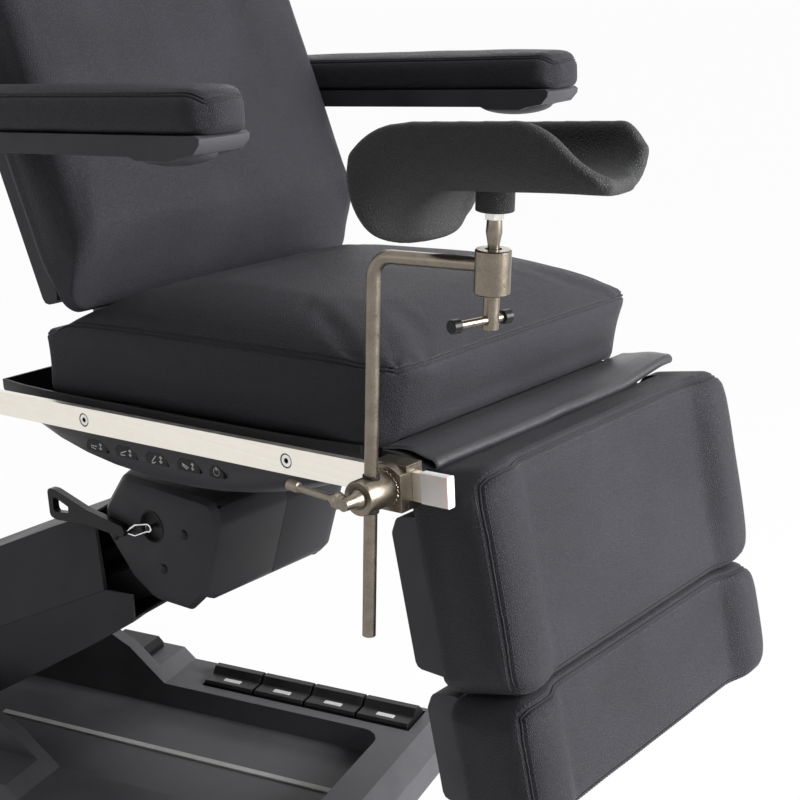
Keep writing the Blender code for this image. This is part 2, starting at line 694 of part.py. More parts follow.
def build_seat_frame(seat):
    half = FRAME_WIDTH / 2
    inner = half - FRAME_MEMBER
    rear = BACK_PIVOT[0] + PIVOT_R + 0.017
    front = -0.012
    tail = BACK_PIVOT[0] - 2.4 * PIVOT_R
    nose = LEG_PIVOT[0] + 2.2 * PIVOT_R
    outline = [(tail, -half), (nose, -half), (nose, -inner), (front, -inner), (front, inner), (nose, inner)]
    outline += [(nose, half), (tail, half), (tail, inner), (rear, inner), (rear, -inner), (tail, -inner)]
    frame = solid("seat_frame", prism(outline, -FRAME_THICK - GAP, -GAP, "Z"), "steel", seat)
    bays = [(rear + FRAME_MEMBER, -0.31), (-0.27, front - FRAME_MEMBER)]
    lanes = [(-inner, -CENTRE_MEMBER[1]), (-CENTRE_MEMBER[0], CENTRE_MEMBER[0]), (CENTRE_MEMBER[1], inner)]
    windows = [box((x0, y0, -1), (x1, y1, 1)) for x0, x1 in bays for y0, y1 in lanes]
    cut(frame, several(windows))
    pivots = []
    for x, z in (BACK_PIVOT, LEG_PIVOT):
        pivots.append(bar(PIVOT_R + GAP, -1, 1, "Y", (x, 0, z)))
    cut(frame, several(pivots))
    tilt = (-EDGE_AHEAD, -EDGE_ABOVE_TILT)
    lug = [(tilt[0] - 0.045, -0.01), (tilt[0] - TILT_LUG_R, tilt[1] - TILT_LUG_R)]
    lug += [(tilt[0] + TILT_LUG_R, tilt[1] - TILT_LUG_R), (tilt[0] + 0.045, -0.01)]
    for sign in (-1, 1):
        low, high = sorted((sign * (CENTRE_MEMBER[0] + 0.004), sign * (CENTRE_MEMBER[1] - 0.006)))
        fuse(frame, prism(rounded(lug, 0.015, 3), low, high, "Y"))
    wide = CENTRE_MEMBER[1] + 0.01
    cut(frame, bar(SHAFT_R + GAP, -wide, wide, "Y", (tilt[0], 0, tilt[1])))


def shroud_ring(x, wall):
    """One cross-section of the boat-shaped cover: upright sides, a round chine and a flat keel."""
    span = SHROUD_DEEPEST - SHROUD_FOOT if x > -SHROUD_DEEPEST else SHROUD_HEAD - SHROUD_DEEPEST
    far = (x + SHROUD_DEEPEST) / (1.24 * span)
    depth = SHROUD_DEPTH * (1 - far * far) - wall
    half = SHROUD_WIDTH / 2 - 0.045 * abs(far) ** 5 - wall
    chine = [(1.0, 0.30), (0.985, 0.55), (0.93, 0.76), (0.80, 0.91), (0.58, 0.985), (0.25, 1.0)]
    top = -GAP + 10 * wall
    side = [(half, top)] + [(half * y, -depth * z) for y, z in chine]
    ring = side + [(-y, z) for y, z in side[::-1]]
    return [(x, y, z) for y, z in ring]


def build_shroud(seat):
    rows = 12
    span = SHROUD_HEAD - SHROUD_FOOT
    outer = [shroud_ring(-SHROUD_HEAD + span * k / rows, 0.0) for k in range(rows + 1)]
    shell = solid("seat_shroud", loft(outer), "shell_plastic", seat)
    inner = []
    for k in range(rows + 1):
        x = -SHROUD_HEAD + SHROUD_WALL + (span - 2 * SHROUD_WALL) * k / rows
        inner.append(shroud_ring(x, SHROUD_WALL))
    cut(shell, loft(inner))
    tilt_x = -EDGE_AHEAD
    long_side = COLUMN_LENGTH / 2 + 0.018
    wide = TILT_EAR_IN + EAR_THICK + 0.006
    tools = [box((tilt_x - long_side, -wide, -1), (tilt_x + long_side, wide, -0.06))]
    for sign in (-1, 1):
        mid = sign * (HINGE_PLATE_Y + HINGE_PLATE_THICK / 2)
        reach = HINGE_PLATE_THICK / 2 + 0.006
        tools.append(box((-1, mid - reach, -0.062), (BACK_PIVOT[0] - 0.08, mid + reach, 1)))
    inside = FRAME_WIDTH / 2 + 0.0015
    tools.append(box((-SHROUD_FOOT - 0.015, -inside, -FRAME_THICK - 2 * GAP), (0, inside, 1)))
    holes = []
    rail_z = RAIL_TOP - RAIL_HEIGHT / 2
    for x in SCREW_X:
        holes.append(bar(SPACER_R + GAP, -1, 0, "Y", (x, 0, rail_z), 14))
    for i in range(BUTTON_COUNT):
        holes.append(button_shape(i, RUN_FIT, -1, -SHROUD_WIDTH / 2 + 0.03))
    cut(shell, several(tools + holes))


def button_size(i):
    """The last button of the row is a short one."""
    length, height = BUTTON_SIZE
    return (length if i < BUTTON_COUNT - 1 else 0.6 * length, height)


def button_shape(i, grow, low, high):
    length, height = button_size(i)
    x = BUTTON_FIRST_X + i * BUTTON_PITCH - (BUTTON_SIZE[0] - length) / 2
    half = (length / 2 + grow, height / 2 + grow)
    outline = [(x - half[0], BUTTON_Z - half[1]), (x + half[0], BUTTON_Z - half[1])]
    outline += [(x + half[0], BUTTON_Z), (x + half[0] - half[1], BUTTON_Z + half[1])]
    outline += [(x - half[0] + half[1], BUTTON_Z + half[1]), (x - half[0], BUTTON_Z)]
    return prism(outline, low, high, "Y")


def build_buttons(seat):
    face = -0.985 * SHROUD_WIDTH / 2
    for i in range(BUTTON_COUNT):
        travel = joint(f"button_joint_{i + 1}", seat, (0, 0, 0))
        button = button_shape(i, 0.0, face - 0.0005, face + 0.012)
        solid(f"button_{i + 1}", button, "black_plastic", travel)


def build_seat_cushion(seat):
    half = (SEAT_LENGTH / 2, SEAT_WIDTH / 2, SEAT_SIDE / 2)

    def shape(point):
        x, y, z = point
        high = (z + half[2]) / SEAT_SIDE
        along, across = x / half[0], y / half[1]
        crown = SEAT_CROWN * (1 - along**4) * (1 - across**8) * ease(high)
        pull = 1 - 0.012 * (1 - (2 * high - 1) ** 2)
        lean = SEAT_FRONT_LEAN * high * ease((along - 0.4) / 0.6)
        place = x * pull + lean - half[0]
        # Under the back the top falls away, so that the back clears it as it reclines.
        limit = 0.119 + 0.43 * (place - BACK_PIVOT[0] - 0.069)
        return (place, y * pull, min(z + half[2] + crown, max(limit, 0.7 * z + half[2])))

    pad = solid("seat_cushion", cushion(half, 0.022, (9, 8, 2), shape), "vinyl", seat)
    slots = []
    for sign in (-1, 1):
        mid = sign * (HINGE_PLATE_Y + HINGE_PLATE_THICK / 2)
        grow = HINGE_PLATE_THICK / 2 + 0.004
        slots.append(box((-1, mid - grow, -1), (BACK_PIVOT[0] + 0.029, mid + grow, 1)))
    cut(pad, several(slots))


def build_rail(seat):
    outer = RAIL_INNER + RAIL_THICK
    low = RAIL_TOP - RAIL_HEIGHT
    rail = box((-RAIL_HEAD, -outer, low), (RAIL_FOOT, -RAIL_INNER, RAIL_TOP))
    rail = solid("side_rail", rail, "satin_rail", seat)
    mid = RAIL_TOP - RAIL_HEIGHT / 2
    sinks = []
    for x in SCREW_X:
        head = [(SPACER_R + GAP, RAIL_INNER - 0.01), (SPACER_R + GAP, outer - 0.005)]
        head += [(SCREW_HEAD_R + GAP, outer - 0.0015), (SCREW_HEAD_R + GAP, outer + 0.01)]
        sinks.append(turned([(r, -d) for r, d in head], "Y", (x, 0, mid), 18))
    cut(rail, several(sinks))
    for i, x in enumerate(SCREW_X):
        post = [(SPACER_R, FRAME_WIDTH / 2 + GAP), (SPACER_R, outer - 0.005)]
        post += [(SCREW_HEAD_R, outer - 0.0015), (SCREW_HEAD_R, outer - 0.0005)]
        screw = turned([(r, -d) for r, d in post], "Y", (x, 0, mid), 18)
        screw = solid(f"rail_screw_{i + 1}", screw, "steel", seat)
        cut(screw, turned([(0.003, -outer - 0.01), (0.003, 0.004 - outer)], "Y", (x, 0, mid), 6))
    grow = CAP_GROW
    cap = [(-outer - grow, low - grow), (grow - RAIL_INNER, low - grow)]
    cap += [(grow - RAIL_INNER, RAIL_TOP + grow), (-outer - grow, RAIL_TOP + grow)]
    start = RAIL_FOOT + GAP
    solid("rail_end_cap", prism(rounded(cap, 0.002, 2), start, start + CAP_LENGTH, "X"), "frosted_cap", seat)


def build_flap(seat):
    """A sheet of vinyl folded back on itself: a flat teardrop loop along the front of the seat."""
    half = FLAP_WIDTH / 2
    fold = FLAP_THICK / 2
    ring = []
    for k in range(11):
        angle = math.radians(-90 + 180 * k / 10)
        ring.append((FLAP_REACH - fold * (1 - math.cos(angle)), fold + fold * math.sin(angle)))
    ring += [(0.040, 0.85 * FLAP_THICK), (0.012, 0.0062), (-0.008, 0.0036), (-0.008, 0.0), (0.040, 0.0)]
    rows = 8
    rings = []
    for k in range(rows + 1):
        y = -half + FLAP_WIDTH * k / rows
        wave = 0.0012 * math.sin(5.0 * math.pi * k / rows)
        rings.append([(x, y, z + max(0.0, wave * x / FLAP_REACH)) for x, z in ring])
    solid("vinyl_flap", loft(rings), "vinyl", seat)


# Back and armrests

def armrest_pin_x():
    return BACK_FRONT - BACK_THICK - 2 * GAP - ARMREST_PIN_R - 0.001


def build_back(back):
    shell_front = BACK_FRONT - BACK_THICK - GAP
    shell_rear = shell_front - BACK_SHELL
    half = BACK_WIDTH / 2
    top = BACK_LOW + BACK_LENGTH
    plate_half = HINGE_PLATE_THICK / 2
    inside = half - 0.035
    low = BACK_LOW + 0.030
    frame_front = shell_front - GAP
    board = box((frame_front - 0.012, -inside, low + 0.03), (frame_front, inside, top - 0.08))
    frame = solid("back_frame", board, "steel", back)
    plate = [(-2.0 * PIVOT_R, -2.0 * PIVOT_R), (1.1 * PIVOT_R, -2.0 * PIVOT_R), (1.1 * PIVOT_R, 0.055)]
    plate += [(frame_front - 0.004, low + 0.02), (frame_front - 0.004, low + 0.15)]
    plate += [(frame_front - 0.03, low + 0.15)]
    plate += [(-2.0 * PIVOT_R, 0.075)]
    for sign in (-1, 1):
        mid = sign * (HINGE_PLATE_Y + plate_half)
        fuse(frame, prism(plate, mid - plate_half, mid + plate_half, "Y"))
    fuse(frame, bar(PIVOT_R, -FRAME_WIDTH / 2, FRAME_WIDTH / 2, "Y"))
    pin_x = armrest_pin_x()
    pin_end = ARMREST_INNER + 0.030
    for sign in (-1, 1):
        ends = sorted((sign * (inside - 0.01), sign * pin_end))
        fuse(frame, bar(ARMREST_PIN_R, ends[0], ends[1], "Y", (pin_x, 0, ARMREST_PIVOT_Z), 16))
    outline = [(shell_rear, low), (shell_front, low - 0.006)]
    outline += [(shell_front, top - 0.02), (shell_rear, top - 0.05)]
    shell = prism(rounded(outline, 0.012, 2), -half + 0.012, half - 0.012, "Y")
    shell = solid("back_shell", shell, "shell_plastic", back)
    wide = inside + GAP
    room = box((frame_front - 0.012 - GAP, -wide, low + 0.03 - GAP), (1, wide, top - 0.08 + GAP))
    cut(shell, room)
    slots = []
    for sign in (-1, 1):
        mid = sign * (HINGE_PLATE_Y + plate_half)
        grow = plate_half + GAP
        slots.append(box((-1, mid - grow, 0), (1, mid + grow, low + 0.15 + 2 * GAP)))
    cut(shell, several(slots))
    cut(shell, bar(ARMREST_PIN_R + GAP, -1, 1, "Y", (pin_x, 0, ARMREST_PIVOT_Z), 16))
    build_back_cushion(back)


def build_back_cushion(back):
    half = (BACK_THICK / 2, BACK_WIDTH / 2, BACK_LENGTH / 2)
    middle = BACK_LOW + BACK_LENGTH / 2

    def shape(point):
        x, y, z = point
        deep = (half[0] - x) / BACK_THICK
        low = z + half[2]
        across, along = y / half[1], z / half[2]
        tuck = 0.066 * (1 - ease(low / 0.100)) * (1 - deep)
        thin = 0.030 * (1 - ease(low / 0.100)) * deep
        crown = 0.010 * (1 - across**4) * (1 - along**4) * (1 - deep)
        taper = 1 - 0.10 * ease((along - 0.55) / 0.45)
        dip = 0.006 * (1 - deep) * ease((low - 0.25) / 0.2) * (1 - across**2)
        x = BACK_FRONT - BACK_THICK + (1 - deep) * BACK_THICK - tuck + thin + crown - dip
        return (x, y * taper, z + middle)

    solid("back_cushion", cushion(half, 0.026, (2, 8, 11), shape), "vinyl", back)


def build_armrest(armrest, side, sign):
    """A padded top in a plastic shell. The datum is level with the seat, on the pin in the back."""
    rear = -0.030
    front = rear + ARMREST_LENGTH
    pad_low = ARMREST_SHELL
    high = ARMREST_TOP - ARMREST_LOW
    lean = math.radians(BACK_LEAN)
    pin_height = BACK_PIVOT[1] + armrest_pin_x() * math.sin(lean) + ARMREST_PIVOT_Z * math.cos(lean)
    low = ARMREST_LOW - pin_height
    inner = sign * ARMREST_INNER
    mid = sign * (ARMREST_INNER + ARMREST_WIDTH / 2)
    half = ARMREST_WIDTH / 2 - 0.004
    outline = [(rear, low + pad_low), (rear, low + 0.008), (rear + 0.03, low), (front - 0.14, low)]
    outline += [(front - 0.13, low - 0.004), (front - 0.07, low - 0.004), (front - 0.055, low)]
    outline += [(front - 0.03, low + 0.004), (front - 0.008, low + pad_low)]
    shell = prism(rounded(outline, 0.006, 2), mid - half, mid + half, "Y")
    shell = solid(f"armrest_shell_{side}", shell, "shell_plastic", armrest)
    ends = sorted((inner - sign * 0.02, inner + sign * (0.030 + GAP)))
    hub = 2.2 * ARMREST_PIN_R
    side_in = half - 0.001
    fuse(shell, bar(hub, mid - side_in, mid + side_in, "Y", (0, 0, low + 0.019), 18))
    cut(shell, bar(ARMREST_PIN_R + GAP, ends[0], ends[1], "Y", (0, 0, 0), 16))
    size = (ARMREST_LENGTH / 2, ARMREST_WIDTH / 2, (high - pad_low) / 2)

    def shape(point):
        x, y, z = point
        up = (z + size[2]) / (2 * size[2])
        crown = 0.004 * (1 - (y / size[1]) ** 2) * up
        drop = 0.010 * ease((x / size[0] - 0.86) / 0.14) ** 2 * up
        return (x + rear + size[0], y + mid, z + low + pad_low + GAP + size[2] + crown - drop)

    pad = cushion(size, 0.017, (8, 2, 1), shape)
    pad = solid(f"armrest_pad_{side}", pad, "vinyl", armrest)
    cut(pad, bar(hub + 0.001, -1, 1, "Y", (0, 0, low + 0.019), 18))


# Leg rest

def leg_pad(name, parent, top, height):
    thick = LEG_FRONT - LEG_REAR
    half = (thick / 2, LEG_WIDTH / 2, height / 2)

    def shape(point):
        x, y, z = point
        fore = (x + half[0]) / thick
        across, along = abs(y) / half[1], z / half[2]
        flat = 1 - LEG_BOLSTER / half[1]
        dish = LEG_DISH * (1 - ease((across - flat + 0.12) / 0.20)) * fore
        crown = 0.007 * (1 - along**4) * fore
        edge = 0.010 * ease((across - 0.85) / 0.15) * fore
        return (x + LEG_REAR + half[0] - dish + crown - edge - 0.007 * fore, y, z + top - half[2])

    return solid(name, cushion(half, 0.024, (2, 12, 5), shape), "vinyl", parent)


def shell_outline(low, high, front):
    rear = front - LEG_SHELL
    corners = [(front, low), (front, high), (rear + 0.012, high), (rear, high - 0.02), (rear, low + 0.012)]
    return rounded(corners, 0.01, 2)


def build_leg_rest(leg, extension):
    pad_low = LEG_TOP - LEG_UPPER
    pad = leg_pad("leg_pad_upper", leg, LEG_TOP, LEG_UPPER)
    # The tongues of the seat frame turn in two recesses at the rear of the pad.
    recesses = []
    for sign in (-1, 1):
        mid = sign * (FRAME_WIDTH - FRAME_MEMBER) / 2
        reach = FRAME_MEMBER / 2 + 0.007
        recesses.append(box((-1, mid - reach, -3.4 * PIVOT_R), (5 * PIVOT_R, mid + reach, 1)))
    cut(pad, several(recesses))
    plate_front = LEG_REAR - GAP
    plate_rear = plate_front - LEG_PLATE
    plate_top = -PIVOT_R - 0.012
    half = FRAME_WIDTH / 2 - FRAME_MEMBER - LEG_KNUCKLE_PLAY
    plate = box((plate_rear, -half, pad_low + 0.02), (plate_front, half, plate_top))
    frame = solid("leg_frame", plate, "steel", leg)
    for sign in (-1, 1):
        low, high = sorted((sign * (half - LEG_KNUCKLE), sign * half))
        knuckle = [(-1.5 * PIVOT_R, 1.25 * PIVOT_R), (-1.5 * PIVOT_R, -0.045), (plate_front - 0.001, -0.055)]
        knuckle += [(plate_front - 0.001, 1.25 * PIVOT_R)]
        fuse(frame, prism(knuckle, low, high, "Y"))
    fuse(frame, bar(PIVOT_R, -FRAME_WIDTH / 2, FRAME_WIDTH / 2, "Y"))
    shell_front = plate_rear - GAP
    half = LEG_SHELL_WIDTH / 2
    outline = shell_outline(pad_low + 0.004, -0.062, shell_front)
    shell = solid("leg_shell_upper", prism(outline, -half, half, "Y"), "shell_plastic", leg)
    bar_x = shell_front - LEG_SHELL / 2
    tracks = []
    for sign in (-1, 1):
        tracks.append(bar(SLIDE_BAR_R + GAP, -1, -0.118, "Z", (bar_x, sign * SLIDE_BAR_Y, 0), 16))
    cut(shell, several(tracks))
    lower_top = pad_low - LEG_SPLIT
    leg_pad("leg_pad_lower", extension, lower_top, LEG_LOWER)
    outline = shell_outline(lower_top - LEG_LOWER + 0.004, lower_top - 0.004, LEG_REAR - GAP)
    shell = solid("leg_shell_lower", prism(outline, -half, half, "Y"), "shell_plastic", extension)
    for sign in (-1, 1):
        fuse(shell, bar(SLIDE_BAR_R, lower_top - 0.03, -0.120, "Z", (bar_x, sign * SLIDE_BAR_Y, 0), 16))


# Leg holder

def build_clamp(clamp):
    """A rear jaw that wraps the rail and a front jaw with an arched top. Origin on the sleeve axis."""
    half = CLAMP_WIDTH / 2
    inner, outer = RAIL_INNER, RAIL_INNER + RAIL_THICK
    rail = RAIL_HEIGHT / 2 + RUN_FIT
    high = RAIL_HEIGHT / 2 + JAW_WALL
    front = outer + JAW_WALL
    rear = box((-half, -front, -high), (half, JAW_WALL - inner, high))
    rear = solid("clamp_rear_jaw", rear, "bronze_nickel", clamp)
    cut(rear, box((-1, -outer - RUN_FIT, -rail), (1, RUN_FIT - inner, rail)))
    start = front + GAP
    arch = [(half, -high), (half, high - 0.008)]
    for k in range(1, 8):
        arch.append((half - 2 * half * k / 8, high - 0.008 + 0.010 * math.sin(math.pi * k / 8)))
    arch += [(-half, high - 0.008), (-half, -high)]
    jaw = prism(arch, -start - FRONT_JAW_THICK, -start, "Y")
    solid("clamp_front_jaw", jaw, "bronze_nickel", clamp)
    return start + FRONT_JAW_THICK + GAP


def build_sleeve(sleeve, start):
    """The sleeve turns against the jaw. Its cross bore holds the bush and rod, its end bore the plunger."""
    end = start + SLEEVE_LENGTH
    rod_y = start + SLEEVE_LENGTH / 2
    rim = 0.002
    profile = [(SLEEVE_R - 0.001, -start), (SLEEVE_R, -start - rim)]
    profile += [(SLEEVE_R, rim - end), (SLEEVE_R - 0.001, -end)]
    body = solid("clamp_sleeve", turned(profile, "Y", steps=28), "bronze_nickel", sleeve)
    bush_r = ROD_R + GAP + BUSH_WALL
    cut(body, bar(SLEEVE_BORE, -1, -rod_y, "Y"))
    cut(body, bar(bush_r + GAP, -1, 1, "Z", (0, -rod_y, 0)))
    return rod_y, end


def build_lock_lever(sleeve, rod_y, end):
    """The plunger that presses on the bush, with its cross lever, ball and end cap."""
    bush_r = ROD_R + GAP + BUSH_WALL
    lever = joint("lever_joint", sleeve, (0, 0, 0))
    fit = SLEEVE_BORE - GAP
    profile = [(fit, -rod_y - bush_r - GAP), (fit, -end - 0.004)]
    profile += [(0.0085, -end - 0.010), (0.0075, -end - 0.026)]
    plunger = solid("lock_lever", turned(profile, "Y"), "bronze_nickel", lever)
    tip = -0.016 - LEVER_LENGTH
    ball = [(LEVER_R, -0.004), (0.009, -0.009), (0.0105, -0.014), (0.009, -0.019), (LEVER_R + 0.001, -0.024)]
    stem = ball + [(LEVER_R, -0.030), (LEVER_R, tip + 0.017)]
    stem += [(0.0065, tip + 0.016), (0.0065, tip + 0.001), (0.0055, tip)]
    fuse(plunger, turned([(0.004, 0.004)] + stem, "X", (0, -end - 0.018, 0), 16))


def build_rod(sleeve, rod_y):
    """The bush that turns in the sleeve, and the bent rod that slides in it with the barrel at its end."""
    bush_joint = joint("bush_joint", sleeve, (0, -rod_y, 0))
    bush_r = ROD_R + GAP + BUSH_WALL
    tall = SLEEVE_R + 0.0015
    bush = solid("rod_bush", bar(bush_r, -tall, tall, "Z"), "bronze_nickel", bush_joint)
    cut(bush, bar(ROD_R + GAP, -1, 1, "Z", steps=16))
    rod = joint("rod_joint", bush_joint, (0, 0, 0))
    rise = math.radians(RUN_RISE)
    sweep_angle = math.pi / 2 - rise
    start = ROD_UP - ROD_BEND
    path = [(0, 0, -ROD_DOWN), (0, 0, 0.4 * start), (0, 0, start)]
    for k in range(1, 9):
        angle = sweep_angle * k / 8
        path.append((ROD_BEND * (1 - math.cos(angle)), 0, start + ROD_BEND * math.sin(angle)))
    corner = Vector(path[-1])
    run = Vector((math.cos(rise), 0, math.sin(rise)))
    hub = corner + run * ((ROD_REACH - corner.x) / run.x)
    path.append(tuple(hub - run * (math.sqrt(BARREL_R**2 - ROD_R**2) - 0.0002) / run.x))
    solid("leg_rod", sweep(path, ROD_R, 16), "bronze_nickel", rod)
    return rod, hub


def build_ball_joint(rod, hub):
    """Barrel with a pressure cup under the ball, the stud with its nut, and the screw that locks them."""
    datum = joint("barrel_datum", rod, hub)
    low, high = -BARREL_BELOW, BARREL_ABOVE
    edge = 0.0015
    profile = [(BARREL_R - edge, low), (BARREL_R, low + edge)]
    profile += [(BARREL_R, high - edge), (BARREL_R - edge, high)]
    barrel = solid("ball_barrel", turned(profile, steps=28), "bronze_nickel", datum)
    ball_z = high - 0.9 * BALL_R
    bore = BALL_R + GAP
    seat = [(TEE_R + GAP, low - 0.01), (TEE_R + GAP, low + 0.006), (bore, low + 0.006), (bore, ball_z)]
    for k in range(1, 4):
        angle = math.radians(15 * k)
        seat.append((bore * math.cos(angle), ball_z + bore * math.sin(angle)))
    seat.append((bore * math.cos(angle), high + 0.01))
    cut(barrel, turned(seat, steps=24))
    # The rod's end stops at the outside of the barrel, where the two are welded.
    run = Vector((math.cos(math.radians(RUN_RISE)), 0, math.sin(math.radians(RUN_RISE))))
    socket = sweep([tuple(-run * 0.1), tuple(-run * (BARREL_R - 0.003))], ROD_R + GAP, 16)
    cut(barrel, socket)
    cup_joint = joint("cup_joint", datum, (0, 0, ball_z))
    cup_low = low + 0.006 + GAP - ball_z
    cup = solid("pressure_cup", bar(BALL_R, cup_low, -0.35 * BALL_R, "Z"), "steel", cup_joint)
    ball = [(bore * math.sin(math.radians(a)), -bore * math.cos(math.radians(a))) for a in range(15, 91, 15)]
    cut(cup, turned([(0.002, -bore)] + ball + [(bore, 1)], steps=24))
    tilt = joint("ball_joint", cup_joint, (0, 0, 0))
    neck = []
    for degrees in range(15, 151, 15):
        angle = math.radians(degrees)
        neck.append((BALL_R * math.sin(angle), -BALL_R * math.cos(angle)))
    nut_low = STUD_LENGTH - BALL_R - 0.008
    neck += [(0.0062, 0.016), (0.0085, nut_low - 0.014), (0.0078, nut_low)]
    stud = solid("ball_stud", turned(neck, steps=24), "bronze_nickel", tilt)
    nut = turned([(NUT_R, nut_low - 0.0005), (NUT_R, nut_low + 0.0075)], steps=6)
    fuse(stud, nut)
    spin = joint("crutch_joint", tilt, (0, 0, nut_low + 0.0075 + GAP))
    screw_joint = joint("screw_joint", datum, (0, 0, low))
    tip = 0.006 - TEE_LENGTH - 0.006
    screw = [(TEE_R - 0.001, tip), (TEE_R, tip + 0.001), (TEE_R, 0.006)]
    screw = solid("tee_screw", turned(screw), "bronze_nickel", screw_joint)
    bar_z = tip + 0.011
    turn = Matrix.Rotation(math.radians(-BAR_TURN), 4, "Z")
    hole = bar(BAR_R + GAP, -1, 1, "Y", (0, 0, bar_z), 14)
    hole.transform(turn)
    cut(screw, hole)
    slide = joint("bar_joint", screw_joint, (0, 0, bar_z), 0.0, -BAR_TURN)
    half = BAR_LENGTH / 2
    cap = BAR_CAP_R
    rod_line = [(cap - 0.001, -half), (cap, 0.001 - half), (cap, 0.011 - half), (BAR_R, 0.012 - half)]
    rod_line += [(BAR_R, half - 0.012), (cap, half - 0.011), (cap, half - 0.001), (cap - 0.001, half)]
    tommy = turned([(r, d - BAR_SHIFT) for r, d in rod_line], "Y", steps=16)
    solid("tommy_bar", tommy, "bronze_nickel", slide)
    return spin


def crutch_point(s, t):
    """A point of the crutch's outer side: s runs from the drooping head end to the foot, t from near to far."""
    bend = math.radians(CRUTCH_BEND)
    arc = CRUTCH_BEND_R * bend
    whole = CRUTCH_TIP + arc + CRUTCH_FLAT
    first = 0.75 * (CRUTCH_TIP + arc) * (1 - math.sqrt(1 - 0.9 * t * t))
    run = first + s * (whole - first)
    turn = bend * max(0.0, min(1.0, 1 - (run - CRUTCH_TIP) / arc))
    x = CRUTCH_BEND_X - CRUTCH_BEND_R * math.sin(turn) + max(0.0, run - CRUTCH_TIP - arc)
    z = -CRUTCH_BEND_R * (1 - math.cos(turn))
    left = max(0.0, CRUTCH_TIP - run)
    x -= left * math.cos(bend)
    z -= left * math.sin(bend)
    foot = CRUTCH_BEND_X + CRUTCH_FLAT
    near = 1 - 0.86 * ease((x - foot + 0.075) / 0.075)
    far = 0.74 - 0.30 * ease((x - foot + 0.035) / 0.035)
    fade = 0.60 if t < 0 else 0.95
    wall = CRUTCH_WALL * (near if t < 0 else far) * (1 - fade * ease(turn / bend))
    half = CRUTCH_WIDTH / 2 * (1 - 0.06 * turn / bend - 0.10 * ease((x - foot + 0.03) / 0.03))
    y = math.copysign(math.sin(math.radians(90) * min(1.0, 1.06 * abs(t))), t) * half
    rise = wall * abs(t) ** 2.6
    return Vector((x - rise * math.sin(turn), y, z + rise * math.cos(turn)))


def build_crutch(spin):
    """A moulded saddle: a trough with a drooping head end, its near wall swept down to the foot end."""
    along, across = 16, 12
    step = 0.01
    rings = []
    for i in range(along + 1):
        s = i / along
        top, low = [], []
        for j in range(across + 1):
            t = 2 * j / across - 1
            ds = crutch_point(min(1, s + step), t) - crutch_point(max(0, s - step), t)
            dt = crutch_point(s, min(1, t + step)) - crutch_point(s, max(-1, t - step))
            low.append(crutch_point(s, t))
            top.append(low[-1] + ds.cross(dt).normalized() * CRUTCH_THICK)
        rims = []
        for end, inner in ((0, 1), (-1, -2)):
            mid = (top[end] + low[end]) / 2
            up = (low[end] - low[inner]).normalized()
            rims.append(mid + up * 0.4 * CRUTCH_THICK)
        rings.append([rims[0]] + top + [rims[1]] + low[::-1])
    for end, inner in ((0, 1), (-1, -2)):
        edge = []
        count = len(rings[end])
        for k, point in enumerate(rings[end]):
            other = rings[end][(count - k) % count] if k not in (0, across + 2) else point
            out = (point - rings[inner][k]).normalized() * 0.4 * CRUTCH_THICK
            edge.append((point + other) / 2 + (point - other) * 0.25 + out)
        if end == 0:
            rings.insert(0, edge)
        else:
            rings.append(edge)
    skin = loft(rings)
    turn = Matrix.Rotation(math.radians(CRUTCH_YAW), 4, "Z")
    turn = turn @ Matrix.Rotation(math.radians(-CRUTCH_RISE), 4, "Y")
    skin.transform(Matrix.Translation((0, 0, BOSS_HEIGHT)) @ turn)
    crutch = solid("crutch", skin, "black_plastic", spin)
    top = BOSS_HEIGHT + 0.5 * CRUTCH_THICK
    fuse(crutch, turned([(BOSS_R - 0.001, 0.0), (BOSS_R, 0.001), (BOSS_R, top)], steps=24))


def main():
    base = joint("base_datum", None, (0, 0, 0), 0.0, BASE_YAW)
    build_base(base)
    build_pedals(base)
    build_lift(base)
    swivel = joint("swivel_joint", None, (0, 0, 0))
    build_turntable(swivel)
    build_swivel_lock(swivel)
    tilt = joint("tilt_joint", swivel, (0, 0, TILT_AXIS_Z), -SEAT_TILT)
    seat = joint("seat_datum", tilt, (EDGE_AHEAD, 0, EDGE_ABOVE_TILT))
    build_seat(seat)
    back = joint("back_joint", seat, (BACK_PIVOT[0], 0, BACK_PIVOT[1]), -BACK_LEAN)
    build_back(back)
    pin_x = armrest_pin_x()
    for side, sign in (("near", -1), ("far", 1)):
        armrest = joint(f"armrest_joint_{side}", back, (pin_x, 0, ARMREST_PIVOT_Z), BACK_LEAN)
        build_armrest(armrest, side, sign)
    leg = joint("leg_joint", seat, (LEG_PIVOT[0], 0, LEG_PIVOT[1]), -LEG_LEAN)
    extension = joint("extension_joint", leg, (0, 0, 0))
    build_leg_rest(leg, extension)
    clamp = joint("clamp_joint", seat, (CLAMP_X, 0, RAIL_TOP - RAIL_HEIGHT / 2))
    start = build_clamp(clamp)
    sleeve = joint("sleeve_joint", clamp, (0, 0, 0), ROD_LEAN)
    rod_y, end = build_sleeve(sleeve, start)
    build_lock_lever(sleeve, rod_y, end)
    rod, hub = build_rod(sleeve, rod_y)
    build_crutch(build_ball_joint(rod, hub))


clear_scene()
MATERIALS = make_finishes()
main()
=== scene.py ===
"""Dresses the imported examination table: upholstery, seams, finishes, small fittings, light and camera."""
import math

import bmesh
import bpy
from mathutils import Matrix, Vector, noise
from mathutils.bvhtree import BVHTree
from mathutils.kdtree import KDTree


